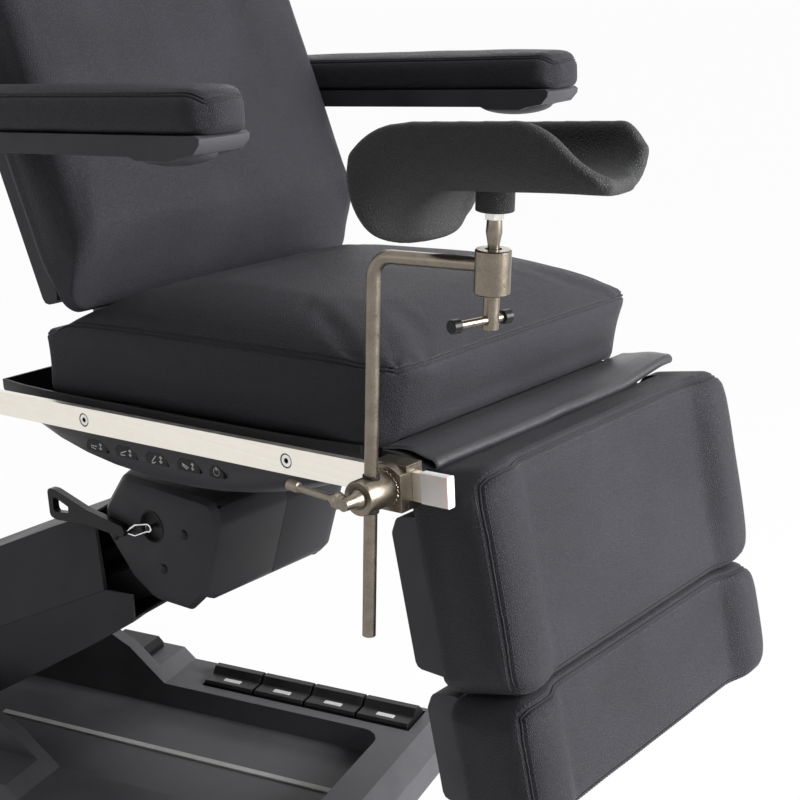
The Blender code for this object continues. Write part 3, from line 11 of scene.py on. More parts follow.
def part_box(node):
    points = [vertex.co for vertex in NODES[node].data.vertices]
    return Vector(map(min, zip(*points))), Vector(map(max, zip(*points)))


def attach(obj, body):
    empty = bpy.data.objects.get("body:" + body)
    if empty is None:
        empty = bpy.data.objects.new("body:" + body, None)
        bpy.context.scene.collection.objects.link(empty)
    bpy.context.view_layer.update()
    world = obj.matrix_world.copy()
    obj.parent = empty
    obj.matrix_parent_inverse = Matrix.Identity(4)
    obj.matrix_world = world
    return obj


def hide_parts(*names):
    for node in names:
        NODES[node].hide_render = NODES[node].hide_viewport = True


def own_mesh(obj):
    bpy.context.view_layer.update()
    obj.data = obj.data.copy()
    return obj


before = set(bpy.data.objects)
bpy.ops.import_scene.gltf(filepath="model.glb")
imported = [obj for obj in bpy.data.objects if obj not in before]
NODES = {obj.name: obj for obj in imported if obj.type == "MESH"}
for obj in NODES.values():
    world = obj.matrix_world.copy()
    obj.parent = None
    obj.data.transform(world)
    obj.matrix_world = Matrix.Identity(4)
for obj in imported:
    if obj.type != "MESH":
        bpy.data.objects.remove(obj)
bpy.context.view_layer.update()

SCENE = bpy.context.scene


def datum(x, y, z, lean=0.0, yaw=0.0):
    """The place of a sub-assembly: its origin, with its turn about the upright and its lean."""
    turn = Matrix.Rotation(math.radians(yaw), 4, "Z") @ Matrix.Rotation(math.radians(lean), 4, "Y")
    return Matrix.Translation((x, y, z)) @ turn


# Places and sizes of the table, in metres and degrees

SEAT_TILT = -3.7
SEAT = datum(0.539729, 0.0, 0.820101, SEAT_TILT)
BACK = datum(-0.069575, 0.0, 0.758653, -23.9)
ARMREST = datum(-0.192452, 0.0, 1.150467, SEAT_TILT)
LEG = datum(0.559111, 0.0, 0.799309, -13.1)
BASE = datum(0.0, 0.0, 0.0, 0.0, 15.0)
CRUTCH = datum(0.748917, -0.3586, 1.143299, 1.3)
BALL = (0.747776, -0.3586, 1.093012)
CLAMP_X, CLAMP_Z = 0.583094, 0.800358
LATCH = (-0.035, -0.150, 0.539)
GAP = 0.0003

# OVER in a name says how far a cover reaches past its plain solid
SEAT_WIDTH = 0.558
SEAT_LENGTH = 0.655
SEAT_SIDE = 0.102
SEAT_CROWN = 0.052
SEAT_FRONT_LEAN = 0.028
SEAT_FRONT_CORNER, SEAT_REAR_CORNER = 0.065, 0.030
BACK_PIVOT_X = -0.612
HINGE_PLATE_Y, HINGE_PLATE_THICK = 0.150, 0.012
BACK_WIDTH = SEAT_WIDTH - 0.002
BACK_LENGTH = 0.780
BACK_THICK = 0.125
BACK_FRONT = 0.182
BACK_LOW = 0.114
BACK_OVER = 0.010
ARMREST_LENGTH, ARMREST_WIDTH, ARMREST_HIGH = 0.603, 0.090, 0.077
ARMREST_SHELL = 0.026
ARMREST_INNER = SEAT_WIDTH / 2 + 0.031
ARMREST_REAR = -0.030
ARMREST_HUB = 0.0198
ARMREST_TIP_CORNER = 0.044
LEG_REAR, LEG_FRONT = 0.016, 0.143
LEG_DISH, LEG_BOLSTER = 0.026, 0.085
LEG_WIDTH = SEAT_WIDTH + 0.028
LEG_TOP, LEG_UPPER, LEG_SPLIT, LEG_LOWER = -0.008, 0.265, 0.012, 0.160
LEG_OVER_SIDE, LEG_OVER_TOP, LEG_SLIT = 0.005, 0.008, 0.002
FRAME_WIDTH, FRAME_MEMBER = 0.470, 0.040
PIVOT_R = 0.010
FLAP_WIDTH = SEAT_WIDTH - 0.006
FLAP_REACH, FLAP_TAIL, FLAP_THICK, FLAP_SHEET = 0.074, 0.008, 0.014, 0.0014
FLAP_HANG, FLAP_FALL = 0.016, 0.22
CRUTCH_FLAT, CRUTCH_TIP = 0.186, 0.006
CRUTCH_BEND_X, CRUTCH_BEND, CRUTCH_BEND_R = -0.046, 100.0, 0.040
CRUTCH_WIDTH, CRUTCH_THICK, CRUTCH_WALL = 0.158, 0.016, 0.070
CRUTCH_YAW, CRUTCH_RISE = 12.0, 4.3
BOSS_R, BOSS_HEIGHT = 0.020, 0.022
PEDAL_PITCH, PEDAL_ROW_X, PEDAL_ROW_Y = 0.103, 0.011, 0.2215

# How far the filling may move each cover, and for how many steps the cloth runs
SEAT_SWELL, BACK_SWELL, LEG_SWELL, ARMREST_SWELL = 0.006, 0.004, 0.0025, 0.003
CLOTH_STEPS = 20

SIDES = (("near", -1), ("far", 1))
BUTTONS = range(1, 6)
# Turns the upright of a place to the table's near side
TO_NEAR_SIDE = Matrix.Rotation(math.radians(90), 4, "X")


def ease(value):
    """A smooth step from 0 to 1."""
    value = max(0.0, min(1.0, value))
    return value * value * (3 - 2 * value)


def round_corner(a, b, half_a, half_b, radius):
    """Brings a point by the corner of a box onto a corner of a given radius."""
    u, v = abs(a) - half_a + radius, abs(b) - half_b + radius
    if u <= 0 or v <= 0:
        return a, b
    in_a = u * math.sqrt(max(0.0, 1 - 0.5 * (v / radius) ** 2))
    in_b = v * math.sqrt(max(0.0, 1 - 0.5 * (u / radius) ** 2))
    return math.copysign(half_a - radius + in_a, a), math.copysign(half_b - radius + in_b, b)


# Shader nodes

def feed(tree, socket, value):
    """Links a socket to another, or sets its plain value."""
    if isinstance(value, bpy.types.NodeSocket):
        tree.links.new(value, socket)
    else:
        socket.default_value = value


def add(tree, kind, inputs=None, **settings):
    """A new node with its settings and inputs."""
    node = tree.nodes.new(kind)
    for name, value in settings.items():
        setattr(node, name, value)
    for name, value in (inputs or {}).items():
        feed(tree, node.inputs[name], value)
    return node


def calc(tree, operation, a, b, clamp=False):
    """One sum on two values."""
    node = tree.nodes.new("ShaderNodeMath")
    node.operation, node.use_clamp = operation, clamp
    feed(tree, node.inputs[0], a)
    feed(tree, node.inputs[1], b)
    return node.outputs[0]


def tint(tree, factor, first, second):
    """A colour between two, by a mask."""
    node = tree.nodes.new("ShaderNodeMix")
    node.data_type = "RGBA"
    for index, value in ((0, factor), (6, first), (7, second)):
        if not isinstance(value, (bpy.types.NodeSocket, float)):
            value = (*value, 1.0)
        feed(tree, node.inputs[index], value)
    return node.outputs[2]


def graded(tree, mask, gain, start):
    """A value that a mask raises from a start."""
    return calc(tree, "ADD", calc(tree, "MULTIPLY", mask, gain), start)


def band(tree, value, low, high):
    """0 to 1 over a range of a value, with soft ends."""
    inputs = {"Value": value, "From Min": low, "From Max": high}
    return add(tree, "ShaderNodeMapRange", inputs, interpolation_type="SMOOTHSTEP").outputs["Result"]


def speckle(tree, where, scale, detail=2.0, rough=0.5):
    """Random spots of a given fineness."""
    inputs = {"Vector": where, "Scale": scale, "Detail": detail, "Roughness": rough}
    return add(tree, "ShaderNodeTexNoise", inputs).outputs["Fac"]


def own_place(tree):
    """Where a point lies on its own piece."""
    return add(tree, "ShaderNodeTexCoord").outputs["Object"]


def vector_calc(tree, operation, a, b=(0.0, 0.0, 0.0)):
    """One sum on two vectors."""
    node = add(tree, "ShaderNodeVectorMath", {0: a, 1: b}, operation=operation)
    return node.outputs["Value" if operation in ("DOT_PRODUCT", "LENGTH") else "Vector"]


def effect(name, inputs, outputs):
    """A shader node group: an effect that several finishes share."""
    tree = bpy.data.node_groups.new(name, "ShaderNodeTree")
    for label, value in inputs.items():
        kind = "NodeSocketVector" if isinstance(value, tuple) else "NodeSocketFloat"
        tree.interface.new_socket(label, in_out="INPUT", socket_type=kind).default_value = value
    for label, kind in outputs.items():
        tree.interface.new_socket(label, in_out="OUTPUT", socket_type=kind)
    return tree, tree.nodes.new("NodeGroupInput").outputs, tree.nodes.new("NodeGroupOutput").inputs


def use(tree, group, **inputs):
    """Places an effect in a finish, with values of its own, and gives its outputs."""
    node = tree.nodes.new("ShaderNodeGroup")
    node.node_tree = group
    for name, value in inputs.items():
        feed(tree, node.inputs[name.replace("_", " ")], value)
    return node.outputs


VALUE, NORMAL = "NodeSocketFloat", "NodeSocketVector"


def make_leather_grain():
    """Pebbled grain of coated fabric, with slow patches of tone and fine pores."""
    outputs = {"Height": VALUE, "Patches": VALUE, "Valleys": VALUE}
    tree, given, out = effect("leather_grain", {"Pebble": 600.0, "Patch": 6.0}, outputs)
    spot = own_place(tree)
    spots = {"Vector": spot, "Scale": 160.0, "Detail": 1.0}
    drift = add(tree, "ShaderNodeTexNoise", spots).outputs["Color"]
    shift = vector_calc(tree, "MULTIPLY", drift, (0.003, 0.003, 0.003))
    moved = vector_calc(tree, "ADD", spot, shift)
    cells = {"Vector": moved, "Scale": given["Pebble"], "Randomness": 1.0}
    edge = add(tree, "ShaderNodeTexVoronoi", cells, feature="DISTANCE_TO_EDGE").outputs["Distance"]
    hills = band(tree, edge, 0.0, 0.30)
    pores = speckle(tree, spot, 2600.0, 1.0)
    feed(tree, out["Height"], graded(tree, hills, 0.8, calc(tree, "MULTIPLY", pores, 0.35)))
    feed(tree, out["Patches"], band(tree, speckle(tree, spot, given["Patch"], 3.0), 0.3, 0.7))
    feed(tree, out["Valleys"], calc(tree, "SUBTRACT", 1.0, hills))
    return tree


def make_moulded_grain():
    """The spark-eroded texture of a plastic moulding, with faint flow marks."""
    outputs = {"Height": VALUE, "Patches": VALUE}
    tree, given, out = effect("moulded_grain", {"Grain": 900.0}, outputs)
    spot = own_place(tree)
    coarse = speckle(tree, spot, given["Grain"], 2.0, 0.6)
    pits = add(tree, "ShaderNodeTexVoronoi", {"Vector": spot, "Scale": given["Grain"]}).outputs["Distance"]
    feed(tree, out["Height"], graded(tree, pits, 0.5, coarse))
    feed(tree, out["Patches"], band(tree, speckle(tree, spot, 9.0, 4.0), 0.3, 0.7))
    return tree


def make_brushed_lines():
    """Fine lines of a brushed or turned metal, along the axis that has the least Stretch."""
    outputs = {"Height": VALUE, "Streaks": VALUE, "Mottle": VALUE}
    tree, given, out = effect("brushed_lines", {"Stretch": (4.0, 900.0, 900.0)}, outputs)
    spot = own_place(tree)
    lines = speckle(tree, vector_calc(tree, "MULTIPLY", spot, given["Stretch"]), 1.0, 3.0, 0.7)
    feed(tree, out["Height"], lines)
    feed(tree, out["Streaks"], band(tree, lines, 0.35, 0.65))
    feed(tree, out["Mottle"], band(tree, speckle(tree, spot, 55.0, 4.0, 0.6), 0.35, 0.7))
    return tree


def make_edge_wear():
    """Rounds the edges of a piece in its shading, and marks them where handling has worn them."""
    outputs = {"Mask": VALUE, "Rounded": NORMAL}
    tree, given, out = effect("edge_wear", {"Radius": 0.0012, "Spread": 0.5}, outputs)
    soft = add(tree, "ShaderNodeBevel", {"Radius": given["Radius"]}, samples=4).outputs["Normal"]
    plain = add(tree, "ShaderNodeNewGeometry").outputs["Normal"]
    turn = vector_calc(tree, "DOT_PRODUCT", soft, plain)
    bare = calc(tree, "MULTIPLY", calc(tree, "SUBTRACT", 1.0, turn), 6.0, clamp=True)
    broken = band(tree, speckle(tree, own_place(tree), 120.0, 3.0), 0.35, 0.65)
    worn = calc(tree, "MULTIPLY", bare, broken)
    feed(tree, out["Mask"], calc(tree, "MULTIPLY", worn, given["Spread"], clamp=True))
    feed(tree, out["Rounded"], soft)
    return tree


def make_dust():
    """A thin film of dust on what faces up."""
    tree, given, out = effect("dust", {"Amount": 0.25}, {"Mask": VALUE})
    geometry = add(tree, "ShaderNodeNewGeometry")
    up = add(tree, "ShaderNodeSeparateXYZ", {0: geometry.outputs["Normal"]}).outputs["Z"]
    flecks = band(tree, speckle(tree, own_place(tree), 28.0, 6.0, 0.65), 0.4, 0.75)
    lying = calc(tree, "MULTIPLY", band(tree, up, 0.3, 1.0), flecks)
    feed(tree, out["Mask"], calc(tree, "MULTIPLY", lying, given["Amount"], clamp=True))
    return tree


LEATHER_GRAIN = make_leather_grain()
MOULDED_GRAIN = make_moulded_grain()
BRUSHED_LINES = make_brushed_lines()
EDGE_WEAR = make_edge_wear()
DUST = make_dust()


# Finishes

def finish(name, **plain):
    """A material with a principled shader, its plain values set on the shader's own sockets."""
    made = bpy.data.materials.new(name)
    made.use_nodes = True
    tree = made.node_tree
    tree.nodes.clear()
    shader = tree.nodes.new("ShaderNodeBsdfPrincipled")
    output = tree.nodes.new("ShaderNodeOutputMaterial")
    tree.links.new(shader.outputs["BSDF"], output.inputs["Surface"])
    for label, value in plain.items():
        shader.inputs[label.replace("_", " ")].default_value = value
    return made, tree, shader


def coat(tree, shader, colour, rough):
    """Gives a shader its colour and its roughness."""
    feed(tree, shader.inputs["Base Color"], colour)
    feed(tree, shader.inputs["Roughness"], rough)


def relief(tree, shader, height, strength, distance, normal=None):
    """Gives a shader its fine bumps, on rounded edges where a normal is given."""
    inputs = {"Height": height, "Strength": strength, "Distance": distance}
    if normal is not None:
        inputs["Normal"] = normal
    feed(tree, shader.inputs["Normal"], add(tree, "ShaderNodeBump", inputs).outputs["Normal"])


def toned(colour, gain, lift=0.0):
    """A colour of the same hue, brighter or darker."""
    return tuple(min(1.0, gain * c + lift) for c in colour)


def make_vinyl(name, dark, light, pebble, gloss, bump, shine=0.12):
    """Coated fabric or a soft skin: pebbles with duller valleys, darkened with painted shade, and slow
    patches of tone.
    """
    made, tree, shader = finish(name, Specular_IOR_Level=shine, Sheen_Weight=0.03, Sheen_Roughness=0.4)
    grain = use(tree, LEATHER_GRAIN, Pebble=pebble)
    worn = tint(tree, grain["Patches"], dark, light)
    # Painted shade: the grain's valleys are darkened towards about half the dark tone
    valleys = calc(tree, "MULTIPLY", grain["Valleys"], 0.55)
    colour = tint(tree, valleys, worn, toned(dark, 0.55))
    rough = graded(tree, grain["Patches"], 0.05, graded(tree, grain["Valleys"], 0.18, gloss))
    coat(tree, shader, colour, rough)
    relief(tree, shader, grain["Height"], bump, 0.0006)
    return made


def make_plastic(name, dark, light, grain_scale, gloss, bump=0.25, wear=0.30, edge=0.0014):
    """A moulded plastic: grained, paler and smoother on its worn edges, with a little dust."""
    made, tree, shader = finish(name, Specular_IOR_Level=0.14)
    grain = use(tree, MOULDED_GRAIN, Grain=grain_scale)
    rim = use(tree, EDGE_WEAR, Radius=edge, Spread=wear)
    film = use(tree, DUST, Amount=0.05)
    colour = tint(tree, grain["Patches"], dark, light)
    colour = tint(tree, rim["Mask"], colour, toned(light, 2.2, 0.02))
    colour = tint(tree, film["Mask"], colour, (0.30, 0.29, 0.28))
    rough = graded(tree, rim["Mask"], -0.12, graded(tree, grain["Patches"], 0.08, gloss))
    coat(tree, shader, colour, graded(tree, film["Mask"], 0.3, rough))
    relief(tree, shader, grain["Height"], bump, 0.0003, rim["Rounded"])
    return made


def make_metal(name, dark, light, stretch, gloss, bump=0.12, mottle=0.5):
    """A brushed metal with streaks and slow mottling, brighter on its edges."""
    made, tree, shader = finish(name, Metallic=1.0)
    lines = use(tree, BRUSHED_LINES, Stretch=stretch)
    rim = use(tree, EDGE_WEAR, Radius=0.0009, Spread=0.4)
    streaks = calc(tree, "MULTIPLY", lines["Streaks"], 1 - mottle)
    colour = tint(tree, graded(tree, lines["Mottle"], mottle, streaks), dark, light)
    rough = graded(tree, lines["Mottle"], 0.06, graded(tree, lines["Streaks"], 0.10, gloss))
    coat(tree, shader, tint(tree, rim["Mask"], colour, toned(light, 1.3)), rough)
    relief(tree, shader, lines["Height"], bump, 0.0002, rim["Rounded"])
    return made


def make_capped_metal(name, centre, axis, bands, other, other_is_metal):
    """Bronze nickel, with another finish where the distance along an axis lies in one of the bands."""
    made, tree, shader = finish(name, Specular_IOR_Level=0.15, Metallic=1.0)
    lines = use(tree, BRUSHED_LINES, Stretch=TURNED)
    rim = use(tree, EDGE_WEAR, Radius=0.0008, Spread=0.35)
    away = vector_calc(tree, "SUBTRACT", own_place(tree), tuple(centre))
    along = vector_calc(tree, "DOT_PRODUCT", away, tuple(axis))
    mask = 0.0
    for low, high in bands:
        above = calc(tree, "GREATER_THAN", along, low)
        inside = calc(tree, "MULTIPLY", above, calc(tree, "LESS_THAN", along, high))
        mask = calc(tree, "MAXIMUM", mask, inside)
    colour = tint(tree, lines["Mottle"], NICKEL_DARK, NICKEL_LIGHT)
    colour = tint(tree, mask, colour, tint(tree, lines["Mottle"], other, toned(other, 1.3)))
    colour = tint(tree, calc(tree, "MULTIPLY", rim["Mask"], 0.6), colour, (0.62, 0.58, 0.52))
    coat(tree, shader, colour, graded(tree, lines["Mottle"], 0.08, 0.27))
    if not other_is_metal:
        feed(tree, shader.inputs["Metallic"], calc(tree, "SUBTRACT", 1.0, mask))
    relief(tree, shader, lines["Height"], 0.05, 0.0002, rim["Rounded"])
    return made


def bar_axis(obj):
    """The middle, direction and half length of a slim bar."""
    points = [v.co.copy() for v in obj.data.vertices]
    middle = sum(points, Vector()) / len(points)
    far = max(points, key=lambda p: (p - middle).length)
    other = max(points, key=lambda p: (p - far).length)
    axis = (far - other).normalized()
    spans = [(p - middle).dot(axis) for p in points]
    # The ends' own middles give the axis without the tilt of a diagonal
    ends = []
    for limit in (max(spans), min(spans)):
        chosen = [p for p, span in zip(points, spans) if abs(span - limit) < 0.002]
        ends.append(sum(chosen, Vector()) / len(chosen))
    axis = (ends[0] - ends[1]).normalized()
    return (ends[0] + ends[1]) / 2, axis, (ends[0] - ends[1]).length / 2


def make_coated_steel():
    """Black coated steel, bright where its edges are worn."""
    made, tree, shader = finish("coated_steel", Specular_IOR_Level=0.4)
    grain = use(tree, MOULDED_GRAIN, Grain=420.0)
    rim = use(tree, EDGE_WEAR, Radius=0.0012, Spread=0.7)
    colour = tint(tree, grain["Patches"], (0.030, 0.030, 0.032), (0.045, 0.045, 0.047))
    colour = tint(tree, rim["Mask"], colour, (0.32, 0.31, 0.30))
    coat(tree, shader, colour, graded(tree, grain["Patches"], 0.1, 0.42))
    feed(tree, shader.inputs["Metallic"], calc(tree, "MULTIPLY", rim["Mask"], 0.6))
    relief(tree, shader, grain["Height"], 0.3, 0.0004, rim["Rounded"])
    return made


def make_thread():
    """Twisted sewing thread, darker than the cover."""
    sheen = {"Sheen_Weight": 0.3, "Sheen_Roughness": 0.5}
    made, tree, shader = finish("sewing_thread", Specular_IOR_Level=0.3, **sheen)
    fibres = speckle(tree, own_place(tree), 1500.0, 2.0)
    colour = tint(tree, fibres, (0.010, 0.010, 0.011), (0.034, 0.034, 0.037))
    coat(tree, shader, colour, graded(tree, fibres, 0.2, 0.5))
    relief(tree, shader, fibres, 0.4, 0.0002)
    return made


def make_frosted():
    """The milky end cap of the rail: lets a little light through."""
    made, tree, shader = finish("frosted_cap", Subsurface_Weight=0.35, Subsurface_Scale=0.01, IOR=1.46)
    grain = use(tree, MOULDED_GRAIN, Grain=500.0)
    rim = use(tree, EDGE_WEAR, Radius=0.0012, Spread=0.3)
    colour = tint(tree, grain["Patches"], (0.78, 0.77, 0.755), (0.86, 0.85, 0.835))
    colour = tint(tree, rim["Mask"], colour, (0.88, 0.875, 0.86))
    coat(tree, shader, colour, graded(tree, grain["Patches"], 0.1, 0.36))
    relief(tree, shader, grain["Height"], 0.15, 0.0003, rim["Rounded"])
    return made


def make_white(name, gloss):
    """White print or plate, slightly uneven."""
    made, tree, shader = finish(name, Specular_IOR_Level=0.4)
    grain = use(tree, MOULDED_GRAIN, Grain=700.0)
    colour = tint(tree, grain["Patches"], (0.66, 0.66, 0.64), (0.78, 0.78, 0.77))
    coat(tree, shader, colour, graded(tree, grain["Patches"], 0.12, gloss))
    relief(tree, shader, grain["Height"], 0.1, 0.0002)
    return made


VINYL = make_vinyl(
    "charcoal_vinyl", (0.0330, 0.0320, 0.0382), (0.0440, 0.0427, 0.0508), pebble=430.0, gloss=0.38, bump=1.0
)
FLAP_VINYL = make_vinyl(
    "flap_vinyl", (0.030, 0.0292, 0.034), (0.042, 0.041, 0.047),
    pebble=520.0, gloss=0.22, bump=0.4, shine=0.35,
)
SOFT_BLACK = make_vinyl(
    "soft_grained_black", (0.026, 0.027, 0.027), (0.037, 0.038, 0.037),
    pebble=380.0, gloss=0.36, bump=0.9, shine=0.20,
)
THREAD = make_thread()
COVER = make_plastic(
    "grained_cover", (0.036, 0.0355, 0.0395), (0.049, 0.0485, 0.054), grain_scale=1000.0, gloss=0.40
)
# Painted light: the base cover's colour is over twice that of the other grained covers, brightened to stand
# in for light that the seat keeps off its tray
LIT_BASE_COVER = make_plastic(
    "base_cover", (0.092, 0.091, 0.098), (0.118, 0.117, 0.126), grain_scale=1000.0, gloss=0.44
)
SHELL = make_plastic(
    "grained_shell", (0.052, 0.0515, 0.057), (0.074, 0.073, 0.080), grain_scale=520.0, gloss=0.42, bump=0.5
)
BLACK = make_plastic(
    "black_plastic", (0.013, 0.013, 0.014), (0.020, 0.020, 0.021),
    grain_scale=1300.0, gloss=0.28, bump=0.12, edge=0.0008,
)
PEDAL = make_plastic(
    "pedal_plastic", (0.009, 0.009, 0.010), (0.014, 0.014, 0.015), grain_scale=800.0, gloss=0.36, bump=0.3
)
PALE = make_plastic(
    "pale_strip", (0.50, 0.50, 0.48), (0.62, 0.62, 0.60), grain_scale=900.0, gloss=0.40, bump=0.1, wear=0.15
)
RAIL = make_metal(
    "satin_rail", (0.80, 0.76, 0.685), (0.87, 0.83, 0.755),
    stretch=(3.0, 900.0, 900.0), gloss=0.30, bump=0.05, mottle=0.3,
)
NICKEL_DARK, NICKEL_LIGHT = (0.160, 0.136, 0.107), (0.235, 0.204, 0.166)
TURNED = (500.0, 500.0, 500.0)
NICKEL = make_metal("bronze_nickel", NICKEL_DARK, NICKEL_LIGHT, stretch=TURNED, gloss=0.27, bump=0.05)
CHROME = make_metal(
    "chrome_wire", (0.70, 0.70, 0.70), (0.86, 0.86, 0.87), stretch=(40.0, 40.0, 40.0), gloss=0.08, bump=0.03
)
BARE_STEEL = make_metal(
    "bare_steel", (0.36, 0.36, 0.36), (0.52, 0.52, 0.53), stretch=(300.0, 20.0, 300.0), gloss=0.30
)
STEEL = make_coated_steel()
FROSTED = make_frosted()
PLATE = make_white("white_plate", gloss=0.34)
INK = make_white("white_print", gloss=0.5)


# Meshes

def new_object(name, mesh, material, where=None):
    """An object in the scene, with its finish and its place."""
    obj = bpy.data.objects.new(name, mesh)
    SCENE.collection.objects.link(obj)
    if material is not None:
        mesh.materials.append(material)
    if where is not None:
        obj.matrix_world = where
    return obj


def from_bmesh(name, bm, material, where=None, smooth=True):
    """An object from a built mesh, its faces turned outwards."""
    bmesh.ops.recalc_face_normals(bm, faces=bm.faces[:])
    mesh = bpy.data.meshes.new(name)
    for face in bm.faces:
        face.smooth = smooth
    bm.to_mesh(mesh)
    bm.free()
    return new_object(name, mesh, material, where)


def skin(bm, rings, closed=True, ends=True):
    """Faces between rings of points, with the same count in each."""
    rows = [[bm.verts.new(point) for point in ring] for ring in rings]
    count = len(rows[0])
    for first, second in zip(rows, rows[1:]):
        for k in range(count if closed else count - 1):
            n = (k + 1) % count
            bm.faces.new((first[k], first[n], second[n], second[k]))
    if ends:
        bm.faces.new(rows[0][::-1])
        bm.faces.new(rows[-1])
    return rows


def circle(radius, steps, height=0.0):
    """Points round the upright."""
    turns = [2 * math.pi * k / steps for k in range(steps)]
    return [Vector((radius * math.cos(turn), radius * math.sin(turn), height)) for turn in turns]


def lathe(bm, profile, steps, where):
    """A turned shape about the upright of a place, with its radius and height at each step of a profile."""
    skin(bm, [[where @ point for point in circle(radius, steps, height)] for radius, height in profile])


def tube(bm, points, radius, sides, closed=False):
    """A round tube along a line of points."""
    count = len(points)
    rings = []
    side = None
    for k, point in enumerate(points):
        before = points[k - 1] if closed or k else points[k]
        after = points[(k + 1) % count] if closed or k < count - 1 else points[k]
        along = (after - before).normalized()
        if side is None:
            side = along.orthogonal()
        side = (side - along * side.dot(along)).normalized()
        other = along.cross(side)
        ring = []
        for j in range(sides):
            angle = 2 * math.pi * j / sides
            ring.append(point + (side * math.cos(angle) + other * math.sin(angle)) * radius)
        rings.append(ring)
    if closed:
        rings.append(rings[0])
    rows = skin(bm, rings, ends=not closed)
    if closed:
        bmesh.ops.remove_doubles(bm, verts=rows[0] + rows[-1], dist=1e-7)


def plate(bm, outline, where, thick):
    """A thin plate: an outline in the first two axes of a place, raised along the third."""
    low = [where @ Vector((x, y, 0.0)) for x, y in outline]
    high = [where @ Vector((x, y, thick)) for x, y in outline]
    skin(bm, [low, high])


def rounded_outline(width, height, radius, steps=4):
    """A rectangle with round corners, about its middle."""
    points = []
    corners = ((1, 1, 0), (-1, 1, 90), (-1, -1, 180), (1, -1, 270))
    for sx, sy, start in corners:
        for k in range(steps + 1):
            angle = math.radians(start + 90 * k / steps)
            x = sx * (width / 2 - radius) + radius * math.cos(angle)
            points.append((x, sy * (height / 2 - radius) + radius * math.sin(angle)))
    return points


def evaluated_points(obj):
    """The points of a mesh as its modifiers leave them."""
    graph = bpy.context.evaluated_depsgraph_get()
    graph.update()
    return [v.co.copy() for v in obj.evaluated_get(graph).data.vertices]


def bake_modifiers(obj):
    """Puts what an object's modifiers make into its mesh."""
    graph = bpy.context.evaluated_depsgraph_get()
    graph.update()
    done = bpy.data.meshes.new_from_object(obj.evaluated_get(graph))
    obj.modifiers.clear()
    obj.data = done


def carve(obj, shapes):
    """Takes shapes out of a piece, given as a built mesh in the piece's own place."""
    tool = from_bmesh(obj.name + "_cutter", shapes, None, obj.matrix_world.copy(), smooth=False)
    cut = obj.modifiers.new("clearance", "BOOLEAN")
    cut.operation, cut.solver, cut.object = "DIFFERENCE", "EXACT", tool
    bake_modifiers(obj)
    bpy.data.objects.remove(tool)


def block(bm, low, high):
    """A box between two corners."""
    made = bmesh.ops.create_cube(bm, size=1.0)["verts"]
    for vert in made:
        vert.co = Vector([low[k] if vert.co[k] < 0 else high[k] for k in range(3)])


def surface_of(obj):
    """The faces of a mesh, for finding the nearest or the one that a ray hits."""
    bm = bmesh.new()
    bm.from_mesh(obj.data)
    tree = BVHTree.FromBMesh(bm)
    bm.free()
    return tree


def fit(obj, body):
    """A fitting moves with a body."""
    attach(obj, body)


# Padded covers

def grid_lines(half, radius, arcs, middles):
    """Where the lines of a padded form's grid lie across it: close together in its round edges."""
    core = half - radius
    edge = [core + radius * math.tan(math.radians(45 * k / arcs)) for k in range(arcs + 1)]
    inside = [core * (2 * k / middles - 1) for k in range(1, middles)]
    return [-v for v in reversed(edge)] + inside + edge


